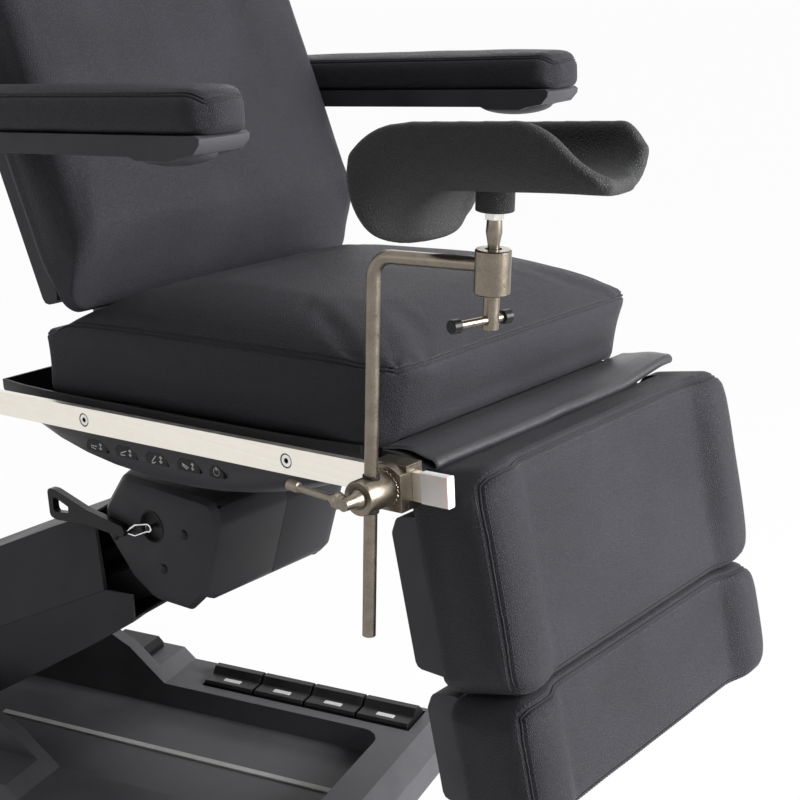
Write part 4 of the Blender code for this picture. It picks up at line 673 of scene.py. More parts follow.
class PaddedCover:
    """A stuffed cover on a fine grid: a box with round edges that is moved into its shape."""

    def __init__(self, name, half, radius, middles, shape, where):
        grids = [grid_lines(half[k], radius, 8, middles[k]) for k in range(3)]
        self.last = [len(grid) - 1 for grid in grids]
        self.made = {}
        points, faces = [], []

        def corner(index):
            if index not in self.made:
                point = Vector([grids[k][index[k]] for k in range(3)])
                core = Vector([max(radius - half[k], min(half[k] - radius, point[k])) for k in range(3)])
                self.made[index] = len(points)
                points.append(shape(core + (point - core).normalized() * radius))
            return self.made[index]

        for axis in range(3):
            first, second = (axis + 1) % 3, (axis + 2) % 3
            for side in (0, self.last[axis]):
                for i in range(self.last[first]):
                    for j in range(self.last[second]):
                        turn = []
                        for di, dj in ((0, 0), (1, 0), (1, 1), (0, 1)):
                            index = [0, 0, 0]
                            index[axis], index[first], index[second] = side, i + di, j + dj
                            turn.append(corner(tuple(index)))
                        faces.append(turn if side else turn[::-1])
        mesh = bpy.data.meshes.new(name)
        mesh.from_pydata(points, [], faces)
        mesh.shade_smooth()
        self.obj = new_object(name, mesh, VINYL, where)

    def rim(self, axis, end):
        """The points round one side, in order: where that side's panel is sewn to its neighbours."""
        first, second = (axis + 1) % 3, (axis + 2) % 3
        wide, high = self.last[first], self.last[second]
        walk = [(i, 0) for i in range(wide)] + [(wide, j) for j in range(high)]
        walk += [(i, high) for i in range(wide, 0, -1)] + [(0, j) for j in range(high, 0, -1)]
        loop = []
        for i, j in walk:
            index = [0, 0, 0]
            index[axis], index[first], index[second] = self.last[axis] * end, i, j
            loop.append(self.made[tuple(index)])
        return loop

    def hold(self, held, seam):
        """Adds the cover's cloth: held(point) says how firmly it stays, and the seam is sewn fast."""
        self.seam = seam
        self.start = [v.co.copy() for v in self.obj.data.vertices]
        group = self.obj.vertex_groups.new(name="held")
        sewn = set(seam)
        for k, point in enumerate(self.start):
            weight = 1.0 if k in sewn else held(point)
            if weight > 0:
                group.add([k], weight, "REPLACE")
        cloth = self.obj.modifiers.new("cover", "CLOTH")
        settings = cloth.settings
        settings.quality = 4
        settings.mass = 0.25
        settings.tension_stiffness = settings.compression_stiffness = 14.0
        settings.shear_stiffness = 6.0
        settings.bending_stiffness = 0.4
        settings.use_pressure = True
        settings.uniform_pressure_force = 4.0
        settings.effector_weights.gravity = 0.0
        settings.vertex_group_mass = "held"
        cloth.collision_settings.use_collision = False
        cloth.collision_settings.use_self_collision = False

    def settle(self, limit):
        """Takes over the simulated cover, no point further than a limit from its start."""
        moved = evaluated_points(self.obj)
        self.obj.modifiers.clear()
        self.obj.vertex_groups.clear()
        normals = [v.normal.copy() for v in self.obj.data.vertices]
        for vert, start, end, normal in zip(self.obj.data.vertices, self.start, moved, normals):
            step = end - start
            if step.length > limit:
                step *= limit / step.length
            ripple = noise.noise(start * 14.0) * 0.0005
            vert.co = start + step + normal * ripple
        self.obj.data.update()

    def seam_line(self):
        """Points along the seam at even steps, closed."""
        return even_steps([self.obj.data.vertices[k].co.copy() for k in self.seam], 0.0012)

    def finer(self):
        """Divides each face of the cover by four."""
        grow = self.obj.modifiers.new("finer", "SUBSURF")
        grow.levels = grow.render_levels = 1
        bake_modifiers(self.obj)

    def sew(self, line, profile, reach):
        """Draws the cover in along a line: profile gives the height at a distance from it."""
        tree = KDTree(len(line))
        for k, point in enumerate(line):
            tree.insert(point, k)
        tree.balance()
        mesh = self.obj.data
        shifts = []
        for vert in mesh.vertices:
            _, _, far = tree.find(vert.co)
            shifts.append(vert.normal * profile(far) if far < reach else None)
        for vert, shift in zip(mesh.vertices, shifts):
            if shift is not None:
                vert.co += shift
        mesh.update()


def even_steps(corners, gap):
    """A closed line of points resampled at even steps."""
    whole = sum((b - a).length for a, b in zip(corners, corners[1:] + corners[:1]))
    count = max(8, round(whole / gap))
    step = whole / count
    points, left = [], 0.0
    for a, b in zip(corners, corners[1:] + corners[:1]):
        run = (b - a).length
        while left < run and len(points) < count:
            points.append(a.lerp(b, left / run))
            left += step
        left -= run
    return points


# A stitch from end to end: place along it, thickness and height, as shares of its length and radius
STITCH = ((-0.5, 0.45, -0.5), (-0.3, 0.9, 0.25), (0.0, 1.0, 0.5), (0.3, 0.9, 0.25), (0.5, 0.45, -0.5))


def stitch_row(bm, line, surface, aside, pitch, length, radius, keep=None):
    """Stitches on a cover, beside a seam: short bars of thread that dip into the cover at both ends."""
    for k in range(0, len(line) - 1, pitch):
        point = line[k]
        along = (line[(k + 2) % len(line)] - line[k - 2]).normalized()
        _, normal, _, _ = surface.find_nearest(point)
        across = along.cross(normal).normalized()
        spot, normal, _, _ = surface.find_nearest(point + across * aside)
        if keep is not None and not keep(spot):
            continue
        across = along.cross(normal).normalized()
        rings = []
        for place, size, dip in STITCH:
            middle = spot + along * (place * length) + normal * (dip * radius)
            ring = []
            for j in range(6):
                angle = math.pi * j / 3
                ring.append(middle + (across * math.cos(angle) + normal * math.sin(angle)) * radius * size)
            rings.append(ring)
        skin(bm, rings)


def bell(far, width):
    """1 on a line, falling softly to 0 within a few widths of it."""
    return math.exp(-((far / width) ** 2))


def double_seam(gap, depth, ridge):
    """The height across a top-stitched seam: two furrows with a slim ridge between them."""
    def profile(far):
        furrow = bell(far - gap, 0.0011) + 0.25 * bell(far, 0.005)
        return ridge * bell(far, 0.0010) - depth * furrow
    return profile


def settle_all(covers):
    """Runs the covers' cloth together, then takes over each result within its own limit."""
    for step in range(1, CLOTH_STEPS + 1):
        SCENE.frame_set(step)
    for cover, limit in covers:
        cover.settle(limit)
    SCENE.frame_set(1)


def dress(obj, body, node):
    """A padded cover takes the place of its plain solid."""
    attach(obj, body)
    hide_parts(node)


def thread(bm, name, where, body):
    """All stitches of one cover."""
    fit(from_bmesh(name, bm, THREAD, where), body)


# Seat, back, armrests and leg pads

def make_seat_cover():
    """The seat's cover: a crowned top on a flat side panel, with sagging lower edges."""
    half = (SEAT_LENGTH / 2, SEAT_WIDTH / 2, SEAT_SIDE / 2)
    waist, droop = 0.012, 0.006
    fall_start, fall_high, fall_slope = BACK_PIVOT_X + 0.069, 0.119, 0.43

    def shape(point):
        x, y, z = point
        high = (z + half[2]) / SEAT_SIDE
        along, across = x / half[0], y / half[1]
        crown = SEAT_CROWN * (1 - along**4) * (1 - across**8) * ease(high)
        pull = 1 - waist * (1 - (2 * high - 1) ** 2)
        lean = SEAT_FRONT_LEAN * high * ease((along - 0.4) / 0.6)
        sag = droop * (1 + ease((-along - 0.5) / 0.3)) * (1 - high) * ease((abs(across) - 0.86) / 0.10)
        x, y = round_corner(x, y, half[0], half[1], SEAT_FRONT_CORNER if along > 0 else SEAT_REAR_CORNER)
        place = x * pull + lean - half[0]
        # Under the back the top falls away, so that the back clears it as it reclines
        limit = fall_high + fall_slope * (place - fall_start)
        return (place, y * pull, min(z + half[2] + crown, max(limit, 0.7 * z + half[2])) - sag)

    def held(p):
        return max(1 - ease((p.z - 0.018) / 0.03), 1 - ease((p.x + 0.50) / 0.10))

    cover = PaddedCover("seat_cover", half, radius=0.022, middles=(62, 52, 8), shape=shape, where=SEAT)
    cover.hold(held, cover.rim(2, 1))
    return cover


def finish_seat_cover(cover):
    """Sews the seam round the seat's top and leaves room for the back's hinge plates."""
    line = cover.seam_line()
    cover.finer()
    cover.sew(line, double_seam(gap=0.0030, depth=0.0026, ridge=0.0007), reach=0.014)
    slots = bmesh.new()
    for sign in (-1, 1):
        mid = sign * (HINGE_PLATE_Y + HINGE_PLATE_THICK / 2)
        grow = HINGE_PLATE_THICK / 2 + 0.004
        block(slots, (-1.0, mid - grow, -1.0), (BACK_PIVOT_X + 0.029, mid + grow, 1.0))
    surface = surface_of(cover.obj)
    bm = bmesh.new()
    seen = lambda p: p.x > -0.56
    for aside in (-0.0048, 0.0048):
        stitch_row(bm, line, surface, aside, pitch=4, length=0.0036, radius=0.00045, keep=seen)
    carve(cover.obj, slots)
    dress(cover.obj, "seat", "seat_cushion")
    thread(bm, "seat_stitching", SEAT, "seat")


def make_back_cover():
    """The back's cover: tucked in at the foot, tapered at the head, with a dip between its bolsters."""
    half = (BACK_THICK / 2, BACK_WIDTH / 2 + BACK_OVER, BACK_LENGTH / 2)
    middle = BACK_LOW + BACK_LENGTH / 2
    rear = BACK_FRONT - BACK_THICK
    foot_high, tuck_deep, thinning = 0.100, 0.066, 0.030
    crown_high, head_taper, dip_deep = 0.010, 0.10, 0.015

    def shape(point):
        x, y, z = point
        deep = (half[0] - x) / BACK_THICK
        low = z + half[2]
        across, along = y / half[1], z / half[2]
        foot = 1 - ease(low / foot_high)
        tuck = tuck_deep * foot * (1 - deep)
        thin = thinning * foot * deep
        crown = crown_high * (1 - across**4) * (1 - along**4) * (1 - deep)
        taper = 1 - head_taper * ease((along - 0.55) / 0.45)
        dip = dip_deep * (1 - deep) * ease((low - 0.24) / 0.2) * (1 - ease((abs(across) - 0.42) / 0.20))
        return (rear + (1 - deep) * BACK_THICK - tuck + thin + crown - dip, y * taper, z + middle)

    def held(p):
        return max(1 - ease((p.x - rear - 0.02) / 0.03), 1 - ease((p.z - BACK_LOW - 0.02) / 0.08))

    cover = PaddedCover("back_cover", half, radius=0.026, middles=(8, 50, 70), shape=shape, where=BACK)
    cover.hold(held, cover.rim(0, 0))
    return cover


def finish_back_cover(cover):
    """The back's cover wraps round to a seam at its rear edge, over the shell."""
    line = cover.seam_line()
    cover.sew(line, double_seam(gap=0.0028, depth=0.0020, ridge=0.0004), reach=0.014)
    surface = surface_of(cover.obj)
    bm = bmesh.new()
    seen = lambda p: p.z > BACK_LOW + 0.05
    stitch_row(bm, line, surface, aside=-0.0045, pitch=4, length=0.0036, radius=0.00045, keep=seen)
    dress(cover.obj, "back", "back_cushion")
    thread(bm, "back_stitching", BACK, "back")


def make_armrest_cover(side, sign):
    """An armrest's cover: slightly crowned, its front end round and dropping."""
    size = (ARMREST_LENGTH / 2, ARMREST_WIDTH / 2, (ARMREST_HIGH - ARMREST_SHELL) / 2)
    mid = sign * (ARMREST_INNER + ARMREST_WIDTH / 2)
    bottom = ARMREST_BASE + ARMREST_SHELL
    crown_high, tip_drop = 0.004, 0.010

    def shape(point):
        x, y, z = point
        up = (z + size[2]) / (2 * size[2])
        crown = crown_high * (1 - (y / size[1]) ** 2) * up
        drop = tip_drop * ease((x / size[0] - 0.86) / 0.14) ** 2 * up
        place = z + bottom + GAP + size[2] + crown - drop
        if x > 0:
            x, y = round_corner(x, y, size[0], size[1], ARMREST_TIP_CORNER)
        return (x + ARMREST_REAR + size[0], y + mid, place)

    name = f"armrest_cover_{side}"
    cover = PaddedCover(name, size, radius=0.017, middles=(72, 6, 4), shape=shape, where=ARMREST)
    cover.hold(lambda p: 1 - ease((p.z - bottom - 0.006) / 0.02), cover.rim(2, 1))
    return cover


def finish_armrest_cover(cover, side):
    """Sews the seam round an armrest's top and leaves room for its hub."""
    line = cover.seam_line()
    cover.finer()
    cover.sew(line, double_seam(gap=0.0024, depth=0.0020, ridge=0.0006), reach=0.012)
    surface = surface_of(cover.obj)
    bm = bmesh.new()
    for aside in (-0.0040, 0.0040):
        stitch_row(bm, line, surface, aside, pitch=4, length=0.0034, radius=0.00042)
    hollow = bmesh.new()
    hub = Matrix.Translation((0, 0, ARMREST_BASE + 0.019)) @ TO_NEAR_SIDE
    lathe(hollow, [(ARMREST_HUB + 0.001, end) for end in (-1.0, 1.0)], 32, hub)
    carve(cover.obj, hollow)
    body = f"armrest_{side}"
    dress(cover.obj, body, f"armrest_pad_{side}")
    thread(bm, f"armrest_stitching_{side}", ARMREST, body)


def make_leg_cover(name, top, height):
    """A leg pad's cover: dished between a bolster at each side."""
    thick = LEG_FRONT - LEG_REAR
    half = (thick / 2, LEG_WIDTH / 2 + LEG_OVER_SIDE, height / 2)
    flat = 1 - LEG_BOLSTER / half[1]
    crown_high, edge_fall = 0.007, 0.010

    def shape(point):
        x, y, z = point
        fore = (x + half[0]) / thick
        across, along = abs(y) / half[1], z / half[2]
        dish = LEG_DISH * (1 - ease((across - flat + 0.06) / 0.14)) * fore * (1 - 0.6 * along**4)
        # The pad is fullest in its middle
        fall = crown_high * along**4 * fore
        edge = edge_fall * ease((across - 0.85) / 0.15) * fore
        y, z = round_corner(y, z, half[1], half[2], 0.028 + 0.020 * fore)
        return (x + LEG_REAR + half[0] - dish - fall - edge, y, z + top - half[2])

    def held(p):
        ends = min(p.z - top + height, top - p.z)
        rear = 1 - ease((p.x - LEG_REAR - 0.02) / 0.04)
        return max(rear, 1 - ease((ends - 0.001) / 0.010) if p.x < 0.10 else 0.0)

    middles = (8, 62, round(height / 0.010))
    cover = PaddedCover(name, half, radius=0.024, middles=middles, shape=shape, where=LEG)
    cover.hold(held, cover.rim(0, 1))
    return cover


def finish_leg_cover(cover, body, node, recess):
    """Sews the welted seam round a leg pad's front and leaves room for the frame's hinge where asked."""
    line = cover.seam_line()
    cover.finer()
    cover.sew(line, lambda far: -0.0017 * bell(far, 0.0036) - 0.0006 * bell(far, 0.007), reach=0.020)
    surface = surface_of(cover.obj)
    welt = bmesh.new()
    sunk = []
    for point in line[::3]:
        spot, normal, _, _ = surface.find_nearest(point)
        sunk.append(spot + normal * 0.0006)
    tube(welt, sunk, 0.0012, 8, closed=True)
    bm = bmesh.new()
    for aside in (-0.0060, 0.0060):
        stitch_row(bm, line, surface, aside, pitch=5, length=0.0040, radius=0.00048)
    if recess:
        hollow = bmesh.new()
        for sign in (-1, 1):
            mid = sign * (FRAME_WIDTH - FRAME_MEMBER) / 2
            reach = FRAME_MEMBER / 2 + 0.007
            block(hollow, (-1.0, mid - reach, -3.4 * PIVOT_R), (5 * PIVOT_R, mid + reach, 1.0))
        carve(cover.obj, hollow)
    dress(cover.obj, body, node)
    fit(from_bmesh(node + "_welt", welt, VINYL, LEG), body)
    thread(bm, node + "_stitching", LEG, body)


# Vinyl flap over the leg rest's hinge

def flap_path():
    """The folded sheet's middle line, from its lower tail round the fold to its upper tail."""
    inset = FLAP_SHEET / 2
    fold = FLAP_THICK / 2
    bend = FLAP_REACH - fold
    path = [Vector((-FLAP_TAIL + (bend + FLAP_TAIL) * k / 14, inset)) for k in range(14)]
    for k in range(17):
        angle = math.radians(-90 + 180 * k / 16)
        radius = fold - inset
        path.append(Vector((bend + radius * math.cos(angle), fold + radius * math.sin(angle))))
    over = ((bend, FLAP_THICK), (0.040, 0.85 * FLAP_THICK), (0.012, 0.0062), (-FLAP_TAIL, 0.0036))
    knots = [Vector((x, z - inset)) for x, z in over]
    for k in range(3):
        a, b = knots[k], knots[k + 1]
        leave, arrive = (b - knots[max(0, k - 1)]) / 2, (knots[min(3, k + 2)] - a) / 2
        for step in range(1, 7):
            t = step / 6
            point = a * (2 * t**3 - 3 * t * t + 1) + leave * (t**3 - 2 * t * t + t)
            path.append(point + b * (3 * t * t - 2 * t**3) + arrive * (t**3 - t * t))
    return path


def flap_section(path):
    """The sheet's outer and inner side, once round."""
    outer, inner = [], []
    for k, point in enumerate(path):
        along = (path[min(k + 1, len(path) - 1)] - path[max(k - 1, 0)]).normalized()
        side = Vector((along.y, -along.x)) * FLAP_SHEET / 2
        outer.append(point + side)
        inner.append(point - side)
    return outer + inner[::-1]


def make_flap():
    """The loose sheet over the gap at the seat's front, folded back on itself."""
    path = flap_path()
    length = sum((b - a).length for a, b in zip(path, path[1:]))
    section = flap_section(path)
    steps = 48
    rings = []
    for k in range(steps + 1):
        share = k / steps
        y = -FLAP_WIDTH / 2 + FLAP_WIDTH * share
        wave = 0.0012 * math.sin(5.0 * math.pi * share) + 0.0004 * math.sin(13.0 * math.pi * share)
        # The free fold hangs down on the leg pad, less so at the far end, which curls up
        hang = FLAP_HANG * (1 - 0.75 * ease((share - 0.74) / 0.26))
        ring = []
        for p in section:
            lift = max(0.0, wave * p.x / FLAP_REACH) - hang * ease((p.x - 0.014) / 0.066)
            ring.append(Vector((p.x, y, p.y + lift)))
        rings.append(ring)
    bm = bmesh.new()
    rows = skin(bm, rings, ends=False)
    for row in (rows[0], rows[-1]):
        for k in range(len(path) - 1):
            bm.faces.new((row[k], row[k + 1], row[-2 - k], row[-1 - k]))
    flap = from_bmesh("folded_flap", bm, FLAP_VINYL, SEAT)
    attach(flap, "seat")
    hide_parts("vinyl_flap")
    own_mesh(flap)


# Crutch of the leg holder

def crutch_point(s, t):
    """A point of the crutch's underside: s runs from the drooping head end to the foot, t across it."""
    # The foot narrows in a round end, while the far wall keeps the height of its full width
    outer = t
    t *= 1 - 0.50 * (1 - math.sqrt(1 - 0.98 * max(0.0, (s - 0.74) / 0.26) ** 2))
    bend = math.radians(CRUTCH_BEND)
    arc = CRUTCH_BEND_R * bend
    whole = CRUTCH_TIP + arc + CRUTCH_FLAT
    # The head end's lowest point lies beyond the middle, and its near corner is rounded off most
    aside, cut = ((0.35 - t) / 1.35, 1.04) if t < 0.35 else ((t - 0.35) / 0.65, 0.55)
    first = cut * (CRUTCH_TIP + arc) * (1 - math.sqrt(1 - 0.88 * aside * aside))
    run = first + s * (whole - first)
    turn = bend * max(0.0, min(1.0, 1 - (run - CRUTCH_TIP) / arc))
    x = CRUTCH_BEND_X - CRUTCH_BEND_R * math.sin(turn) + max(0.0, run - CRUTCH_TIP - arc)
    z = -CRUTCH_BEND_R * (1 - math.cos(turn))
    left = max(0.0, CRUTCH_TIP - run)
    x -= left * math.cos(bend)
    z -= left * math.sin(bend)
    # Both walls are lower at the foot and in the bend, where the far one ends
    ahead = x - CRUTCH_BEND_X - CRUTCH_FLAT
    if t < 0:
        high = (1 - 0.52 * ease((ahead + 0.085) / 0.085)) * (1 - 0.55 * ease(turn / bend)) * abs(t) ** 2.6
    else:
        high = 0.78 * (1 - 0.40 * ease((ahead + 0.03) / 0.03)) * (1 - ease(2.5 * turn / bend)) * outer**2.6
    y = math.copysign(math.sin(math.radians(90) * min(1.0, 1.06 * abs(t))), t) * CRUTCH_WIDTH / 2
    # The bend runs aslant, further back on the near side
    x += 0.020 * t * (1 - ease((x - CRUTCH_BEND_X) / 0.12))
    rise = CRUTCH_WALL * high
    return Vector((x - rise * math.sin(turn), y, z + rise * math.cos(turn)))


def make_crutch():
    """The moulded saddle with round rims: a trough with a drooping head end and a swept near wall."""
    along, across, turns = 72, 48, 5
    step = 0.01
    out = 0.4 * CRUTCH_THICK
    rings = []
    for i in range(along + 1):
        s = math.sin(math.pi / 2 * i / along)
        top, low = [], []
        for j in range(across + 1):
            t = 2 * j / across - 1
            ds = crutch_point(min(1, s + step), t) - crutch_point(max(0, s - step), t)
            dt = crutch_point(s, min(1, t + step)) - crutch_point(s, max(-1, t - step))
            low.append(crutch_point(s, t))
            top.append(low[-1] + ds.cross(dt).normalized() * CRUTCH_THICK)
        rims = []
        for end, inner in ((0, 1), (-1, -2)):
            mid = (top[end] + low[end]) / 2
            half = (top[end] - low[end]) / 2
            up = (low[end] - low[inner]).normalized()
            arc = []
            for k in range(1, turns):
                angle = math.pi * k / turns
                arc.append(mid + half * math.cos(angle) + up * out * math.sin(angle))
            rims.append(arc)
        rings.append(rims[0][::-1] + top + rims[1] + low[::-1])
    edge = turns - 1
    count = len(rings[0])

    def partner(k):
        """The point across the rim from a point of a ring."""
        if k < edge:
            return edge - 1 - k
        if edge + across + 1 <= k < 2 * edge + across + 1:
            return 3 * edge + 2 * across + 1 - k
        return count + edge - 1 - k

    heads = []
    for end, inner in ((0, 2), (-1, -3)):
        caps = []
        for k in range(1, 6):
            angle = math.radians(18 * k)
            ring = []
            for j, point in enumerate(rings[end]):
                mid = (point + rings[end][partner(j)]) / 2
                back = (rings[inner][j] + rings[inner][partner(j)]) / 2
                bulge = (mid - back).normalized() * out
                ring.append(mid + (point - mid) * math.cos(angle) + bulge * math.sin(angle))
            caps.append(ring)
        heads.append(caps)
    rings = heads[0][::-1] + rings + heads[1]
    bm = bmesh.new()
    skin(bm, rings, ends=False)
    bmesh.ops.remove_doubles(bm, verts=bm.verts[:], dist=2e-5)
    bm.transform(datum(0.0, 0.0, BOSS_HEIGHT, -CRUTCH_RISE, CRUTCH_YAW))
    crutch = from_bmesh("leg_crutch", bm, SOFT_BLACK, CRUTCH)
    even = crutch.modifiers.new("even_skin", "REMESH")
    even.mode = "VOXEL"
    even.voxel_size = 0.0022
    melt = crutch.modifiers.new("melted_corners", "SMOOTH")
    melt.factor = 0.5
    melt.iterations = 24
    bake_modifiers(crutch)
    bm = bmesh.new()
    bm.from_mesh(crutch.data)
    boss = [(0.012, 0.0), (BOSS_R - 0.0012, 0.0), (BOSS_R - 0.0003, 0.0004), (BOSS_R, 0.0014)]
    lathe(bm, boss + [(BOSS_R, BOSS_HEIGHT + 0.5 * CRUTCH_THICK)], 48, Matrix())
    bm.to_mesh(crutch.data)
    bm.free()
    crutch.data.shade_smooth()
    flatten_by_angle(crutch, 50)
    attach(crutch, "crutch")
    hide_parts("crutch")


def flatten_by_angle(obj, degrees):
    """Keeps the edges sharp where faces meet at a steep angle."""
    bm = bmesh.new()
    bm.from_mesh(obj.data)
    for edge in bm.edges:
        edge.smooth = len(edge.link_faces) == 2 and edge.calc_face_angle(0.0) < math.radians(degrees)
    bm.to_mesh(obj.data)
    bm.free()


# Small fittings

def button_face(k, out):
    """The place of a button's near face, with the upright towards the viewer, and its half width."""
    low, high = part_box(f"button_{k}")
    mid = Vector(((low[0] + high[0]) / 2, low[1] - out, (low[2] + high[2]) / 2))
    lean = Matrix.Rotation(math.radians(SEAT_TILT), 4, "Y")
    return Matrix.Translation(mid) @ lean @ TO_NEAR_SIDE, (high[0] - low[0]) / 2


def stroke(bm, points, face):
    """A printed stroke along points, raised by the thickness of the ink."""
    width, ink = 0.0013, 0.00012
    for a, b in zip(points, points[1:]):
        along = (Vector(b) - Vector(a)).normalized()
        side = Vector((-along.y, along.x)) * width / 2
        start, end = Vector(a) - along * width * 0.3, Vector(b) + along * width * 0.3
        plate(bm, [tuple(p) for p in (start - side, end - side, end + side, start + side)], face, ink)


def make_button_icons():
    """A generic sign on each button: arrows beside a slanted pad, and a ring on the last."""
    slants = (0.0, 0.35, 0.8, -0.35)
    ring, pad_half, tip_x, tip_y, barb = 0.0052, 0.0062, 0.0085, 0.0050, 0.0026
    for k in BUTTONS:
        face, _ = button_face(k, 0.00002)
        bm = bmesh.new()
        if k > len(slants):
            turns = [math.pi * (0.6 + 1.8 * j / 23) for j in range(24)]
            stroke(bm, [(ring * math.cos(turn), ring * math.sin(turn)) for turn in turns], face)
            stroke(bm, [(0, 0.002), (0, 0.0068)], face)
        else:
            slant = slants[k - 1]
            pad = Vector((math.cos(slant), math.sin(slant))) * pad_half
            centre = Vector((-0.0055, -0.0005))
            stroke(bm, [centre - pad, centre + pad], face)
            stroke(bm, [centre - pad + Vector((0, -0.0024)), centre + Vector((0.003, -0.0044))], face)
            for sign in (1, -1):
                low = sign * (tip_y - barb)
                stroke(bm, [(tip_x - barb, low), (tip_x, sign * tip_y), (tip_x + barb, low)], face)
            stroke(bm, [(tip_x, -0.0045), (tip_x, 0.0045)], face)
        fit(from_bmesh(f"button_sign_{k}", bm, INK, smooth=False), f"button_{k}")


def make_button_frames():
    """A raised edge round each button: hexagonal, and round on the last."""
    tall, shrink = 0.0085, 0.93
    for k in BUTTONS:
        face, wide = button_face(k, -0.0004)
        cut = min(0.006, 0.4 * wide)
        outline = [(-wide, 0), (cut - wide, tall), (wide - cut, tall)]
        outline += [(-x, -y) for x, y in outline]
        if k == BUTTONS[-1]:
            outline = [(p.x, p.y) for p in circle(0.0098, 24)]
        bm = bmesh.new()
        tube(bm, [face @ Vector((x * shrink, y * shrink, 0.0)) for x, y in outline], 0.0007, 6, closed=True)
        fit(from_bmesh(f"button_edge_{k}", bm, BLACK), f"button_{k}")


def make_pedal_plates():
    """A bare white plate on each foot pedal."""
    for k in range(4):
        pedal = f"foot_pedal_{k + 1}"
        spot = BASE @ Vector((PEDAL_ROW_X + (k - 1.5) * PEDAL_PITCH, PEDAL_ROW_Y - 0.017, 0.0))
        surface = surface_of(NODES[pedal])
        hit, normal, _, _ = surface.ray_cast(spot + Vector((0, 0, 0.3)), Vector((0, 0, -1)))
        side = BASE.to_3x3() @ Vector((1, 0, 0))
        fore = normal.cross(side).normalized()
        side = fore.cross(normal).normalized()
        face = Matrix.Translation(hit - normal * 0.0002) @ Matrix((side, fore, normal)).transposed().to_4x4()
        bm = bmesh.new()
        plate(bm, rounded_outline(0.034, 0.011, 0.002), face, 0.0008)
        plate(bm, rounded_outline(0.030, 0.0075, 0.0014), face, 0.0010)
        fit(from_bmesh(f"pedal_plate_{k + 1}", bm, PLATE, smooth=False), pedal)


def make_housing_fittings():
    """Dome caps over the housing's screws, and a bezel round its latch."""
    bm = bmesh.new()
    surface = surface_of(NODES["housing_near"])
    dome = [(0.0078, -0.0006), (0.0078, 0.0006)]
    for angle in (math.radians(a) for a in (0, 18, 36, 54, 72, 84)):
        dome.append((0.0074 * math.cos(angle), 0.0010 + 0.0030 * math.sin(angle)))
    for x, z in ((0.037, 0.544), (-0.012, 0.475), (-0.122, 0.503)):
        hit, _, _, _ = surface.ray_cast(Vector((x, -0.5, z)), Vector((0, 1, 0)))
        if hit is not None:
            lathe(bm, dome, 24, Matrix.Translation(hit) @ TO_NEAR_SIDE)
    fit(from_bmesh("housing_screw_caps", bm, BLACK), "swivel")
    bm = bmesh.new()
    where = Matrix.Translation(LATCH) @ TO_NEAR_SIDE
    tube(bm, [where @ point for point in circle(0.0252, 48)], 0.0013, 8, closed=True)
    fit(from_bmesh("latch_bezel", bm, BLACK), "swivel")


def make_armrest_bosses():
    """A shallow dome under the front of each armrest's shell."""
    half_length, half_width, depth = 0.066, 0.036, 0.017
    fore = ARMREST_REAR + ARMREST_LENGTH - 0.105
    for side, sign in SIDES:
        mid = sign * (ARMREST_INNER + ARMREST_WIDTH / 2)
        rings = []
        for angle in (math.radians(a) for a in (-12, 0, 10, 20, 30, 40, 50, 60, 70, 80, 87)):
            z = ARMREST_BASE + 0.003 - depth * math.sin(angle)
            round_line = circle(math.cos(angle), 48)
            rings.append([Vector((fore + half_length * p.x, mid + half_width * p.y, z)) for p in round_line])
        bm = bmesh.new()
        skin(bm, rings)
        boss = from_bmesh(f"armrest_boss_{side}", bm, SHELL, ARMREST)
        fit(boss, f"armrest_{side}")


def make_latch_hook():
    """The bright hook in the housing's recess that the bail is drawn over."""
    bm = bmesh.new()
    path = [(-0.033, -0.1405, 0.5375), (-0.033, -0.150, 0.5385), (-0.0345, -0.1545, 0.5395)]
    path += [(-0.038, -0.1565, 0.540), (-0.0415, -0.1555, 0.540), (-0.043, -0.1525, 0.5395)]
    tube(bm, [Vector(p) for p in path], 0.0021, 10)
    fit(from_bmesh("latch_hook", bm, CHROME), "swivel")


def make_clamp_teeth():
    """The toothed ring in which the leg holder's sleeve locks on the rail clamp."""
    bm = bmesh.new()
    steps, height = 96, 0.0012
    rings = [[], [], []]
    for k in range(steps):
        angle = 2 * math.pi * k / steps
        tooth = height if k % 4 < 2 else 0.0
        profile = ((0.0216, -0.3353), (0.0222 + tooth, -0.3357), (0.0216 + tooth, -0.3375))
        for ring, (radius, y) in zip(rings, profile):
            ring.append(Vector((CLAMP_X + radius * math.cos(angle), y, CLAMP_Z + radius * math.sin(angle))))
    skin(bm, rings)
    fit(from_bmesh("clamp_teeth", bm, NICKEL, smooth=False), "rail_clamp")


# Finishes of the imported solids

NODE_FINISHES = (
    (COVER, ("arm_cover_lower", "arm_cover_upper", "housing_near", "housing_far", "seat_shroud")),
    (LIT_BASE_COVER, ("base_cover",)),
    (SHELL, ("back_shell", "armrest_shell_near", "armrest_shell_far", "leg_shell_upper", "leg_shell_lower")),
    (BLACK, ("lock_handle", "rod_bush", *(f"button_{k}" for k in BUTTONS))),
    (PEDAL, ("foot_pedal_1", "foot_pedal_2", "foot_pedal_3", "foot_pedal_4", "stop_pedal")),
    (PALE, ("tray_trim",)),
    (FROSTED, ("rail_end_cap",)),
    (RAIL, ("side_rail",)),
    (NICKEL, ("clamp_rear_jaw", "clamp_front_jaw", "clamp_sleeve", "lock_lever")),
    (NICKEL, ("leg_rod", "ball_barrel", "pressure_cup", "tee_screw")),
    (CHROME, ("wire_bail",)),
    (BARE_STEEL, ("arm_shaft", "pedal_shaft", "swivel_bearing", "turntable")),
)


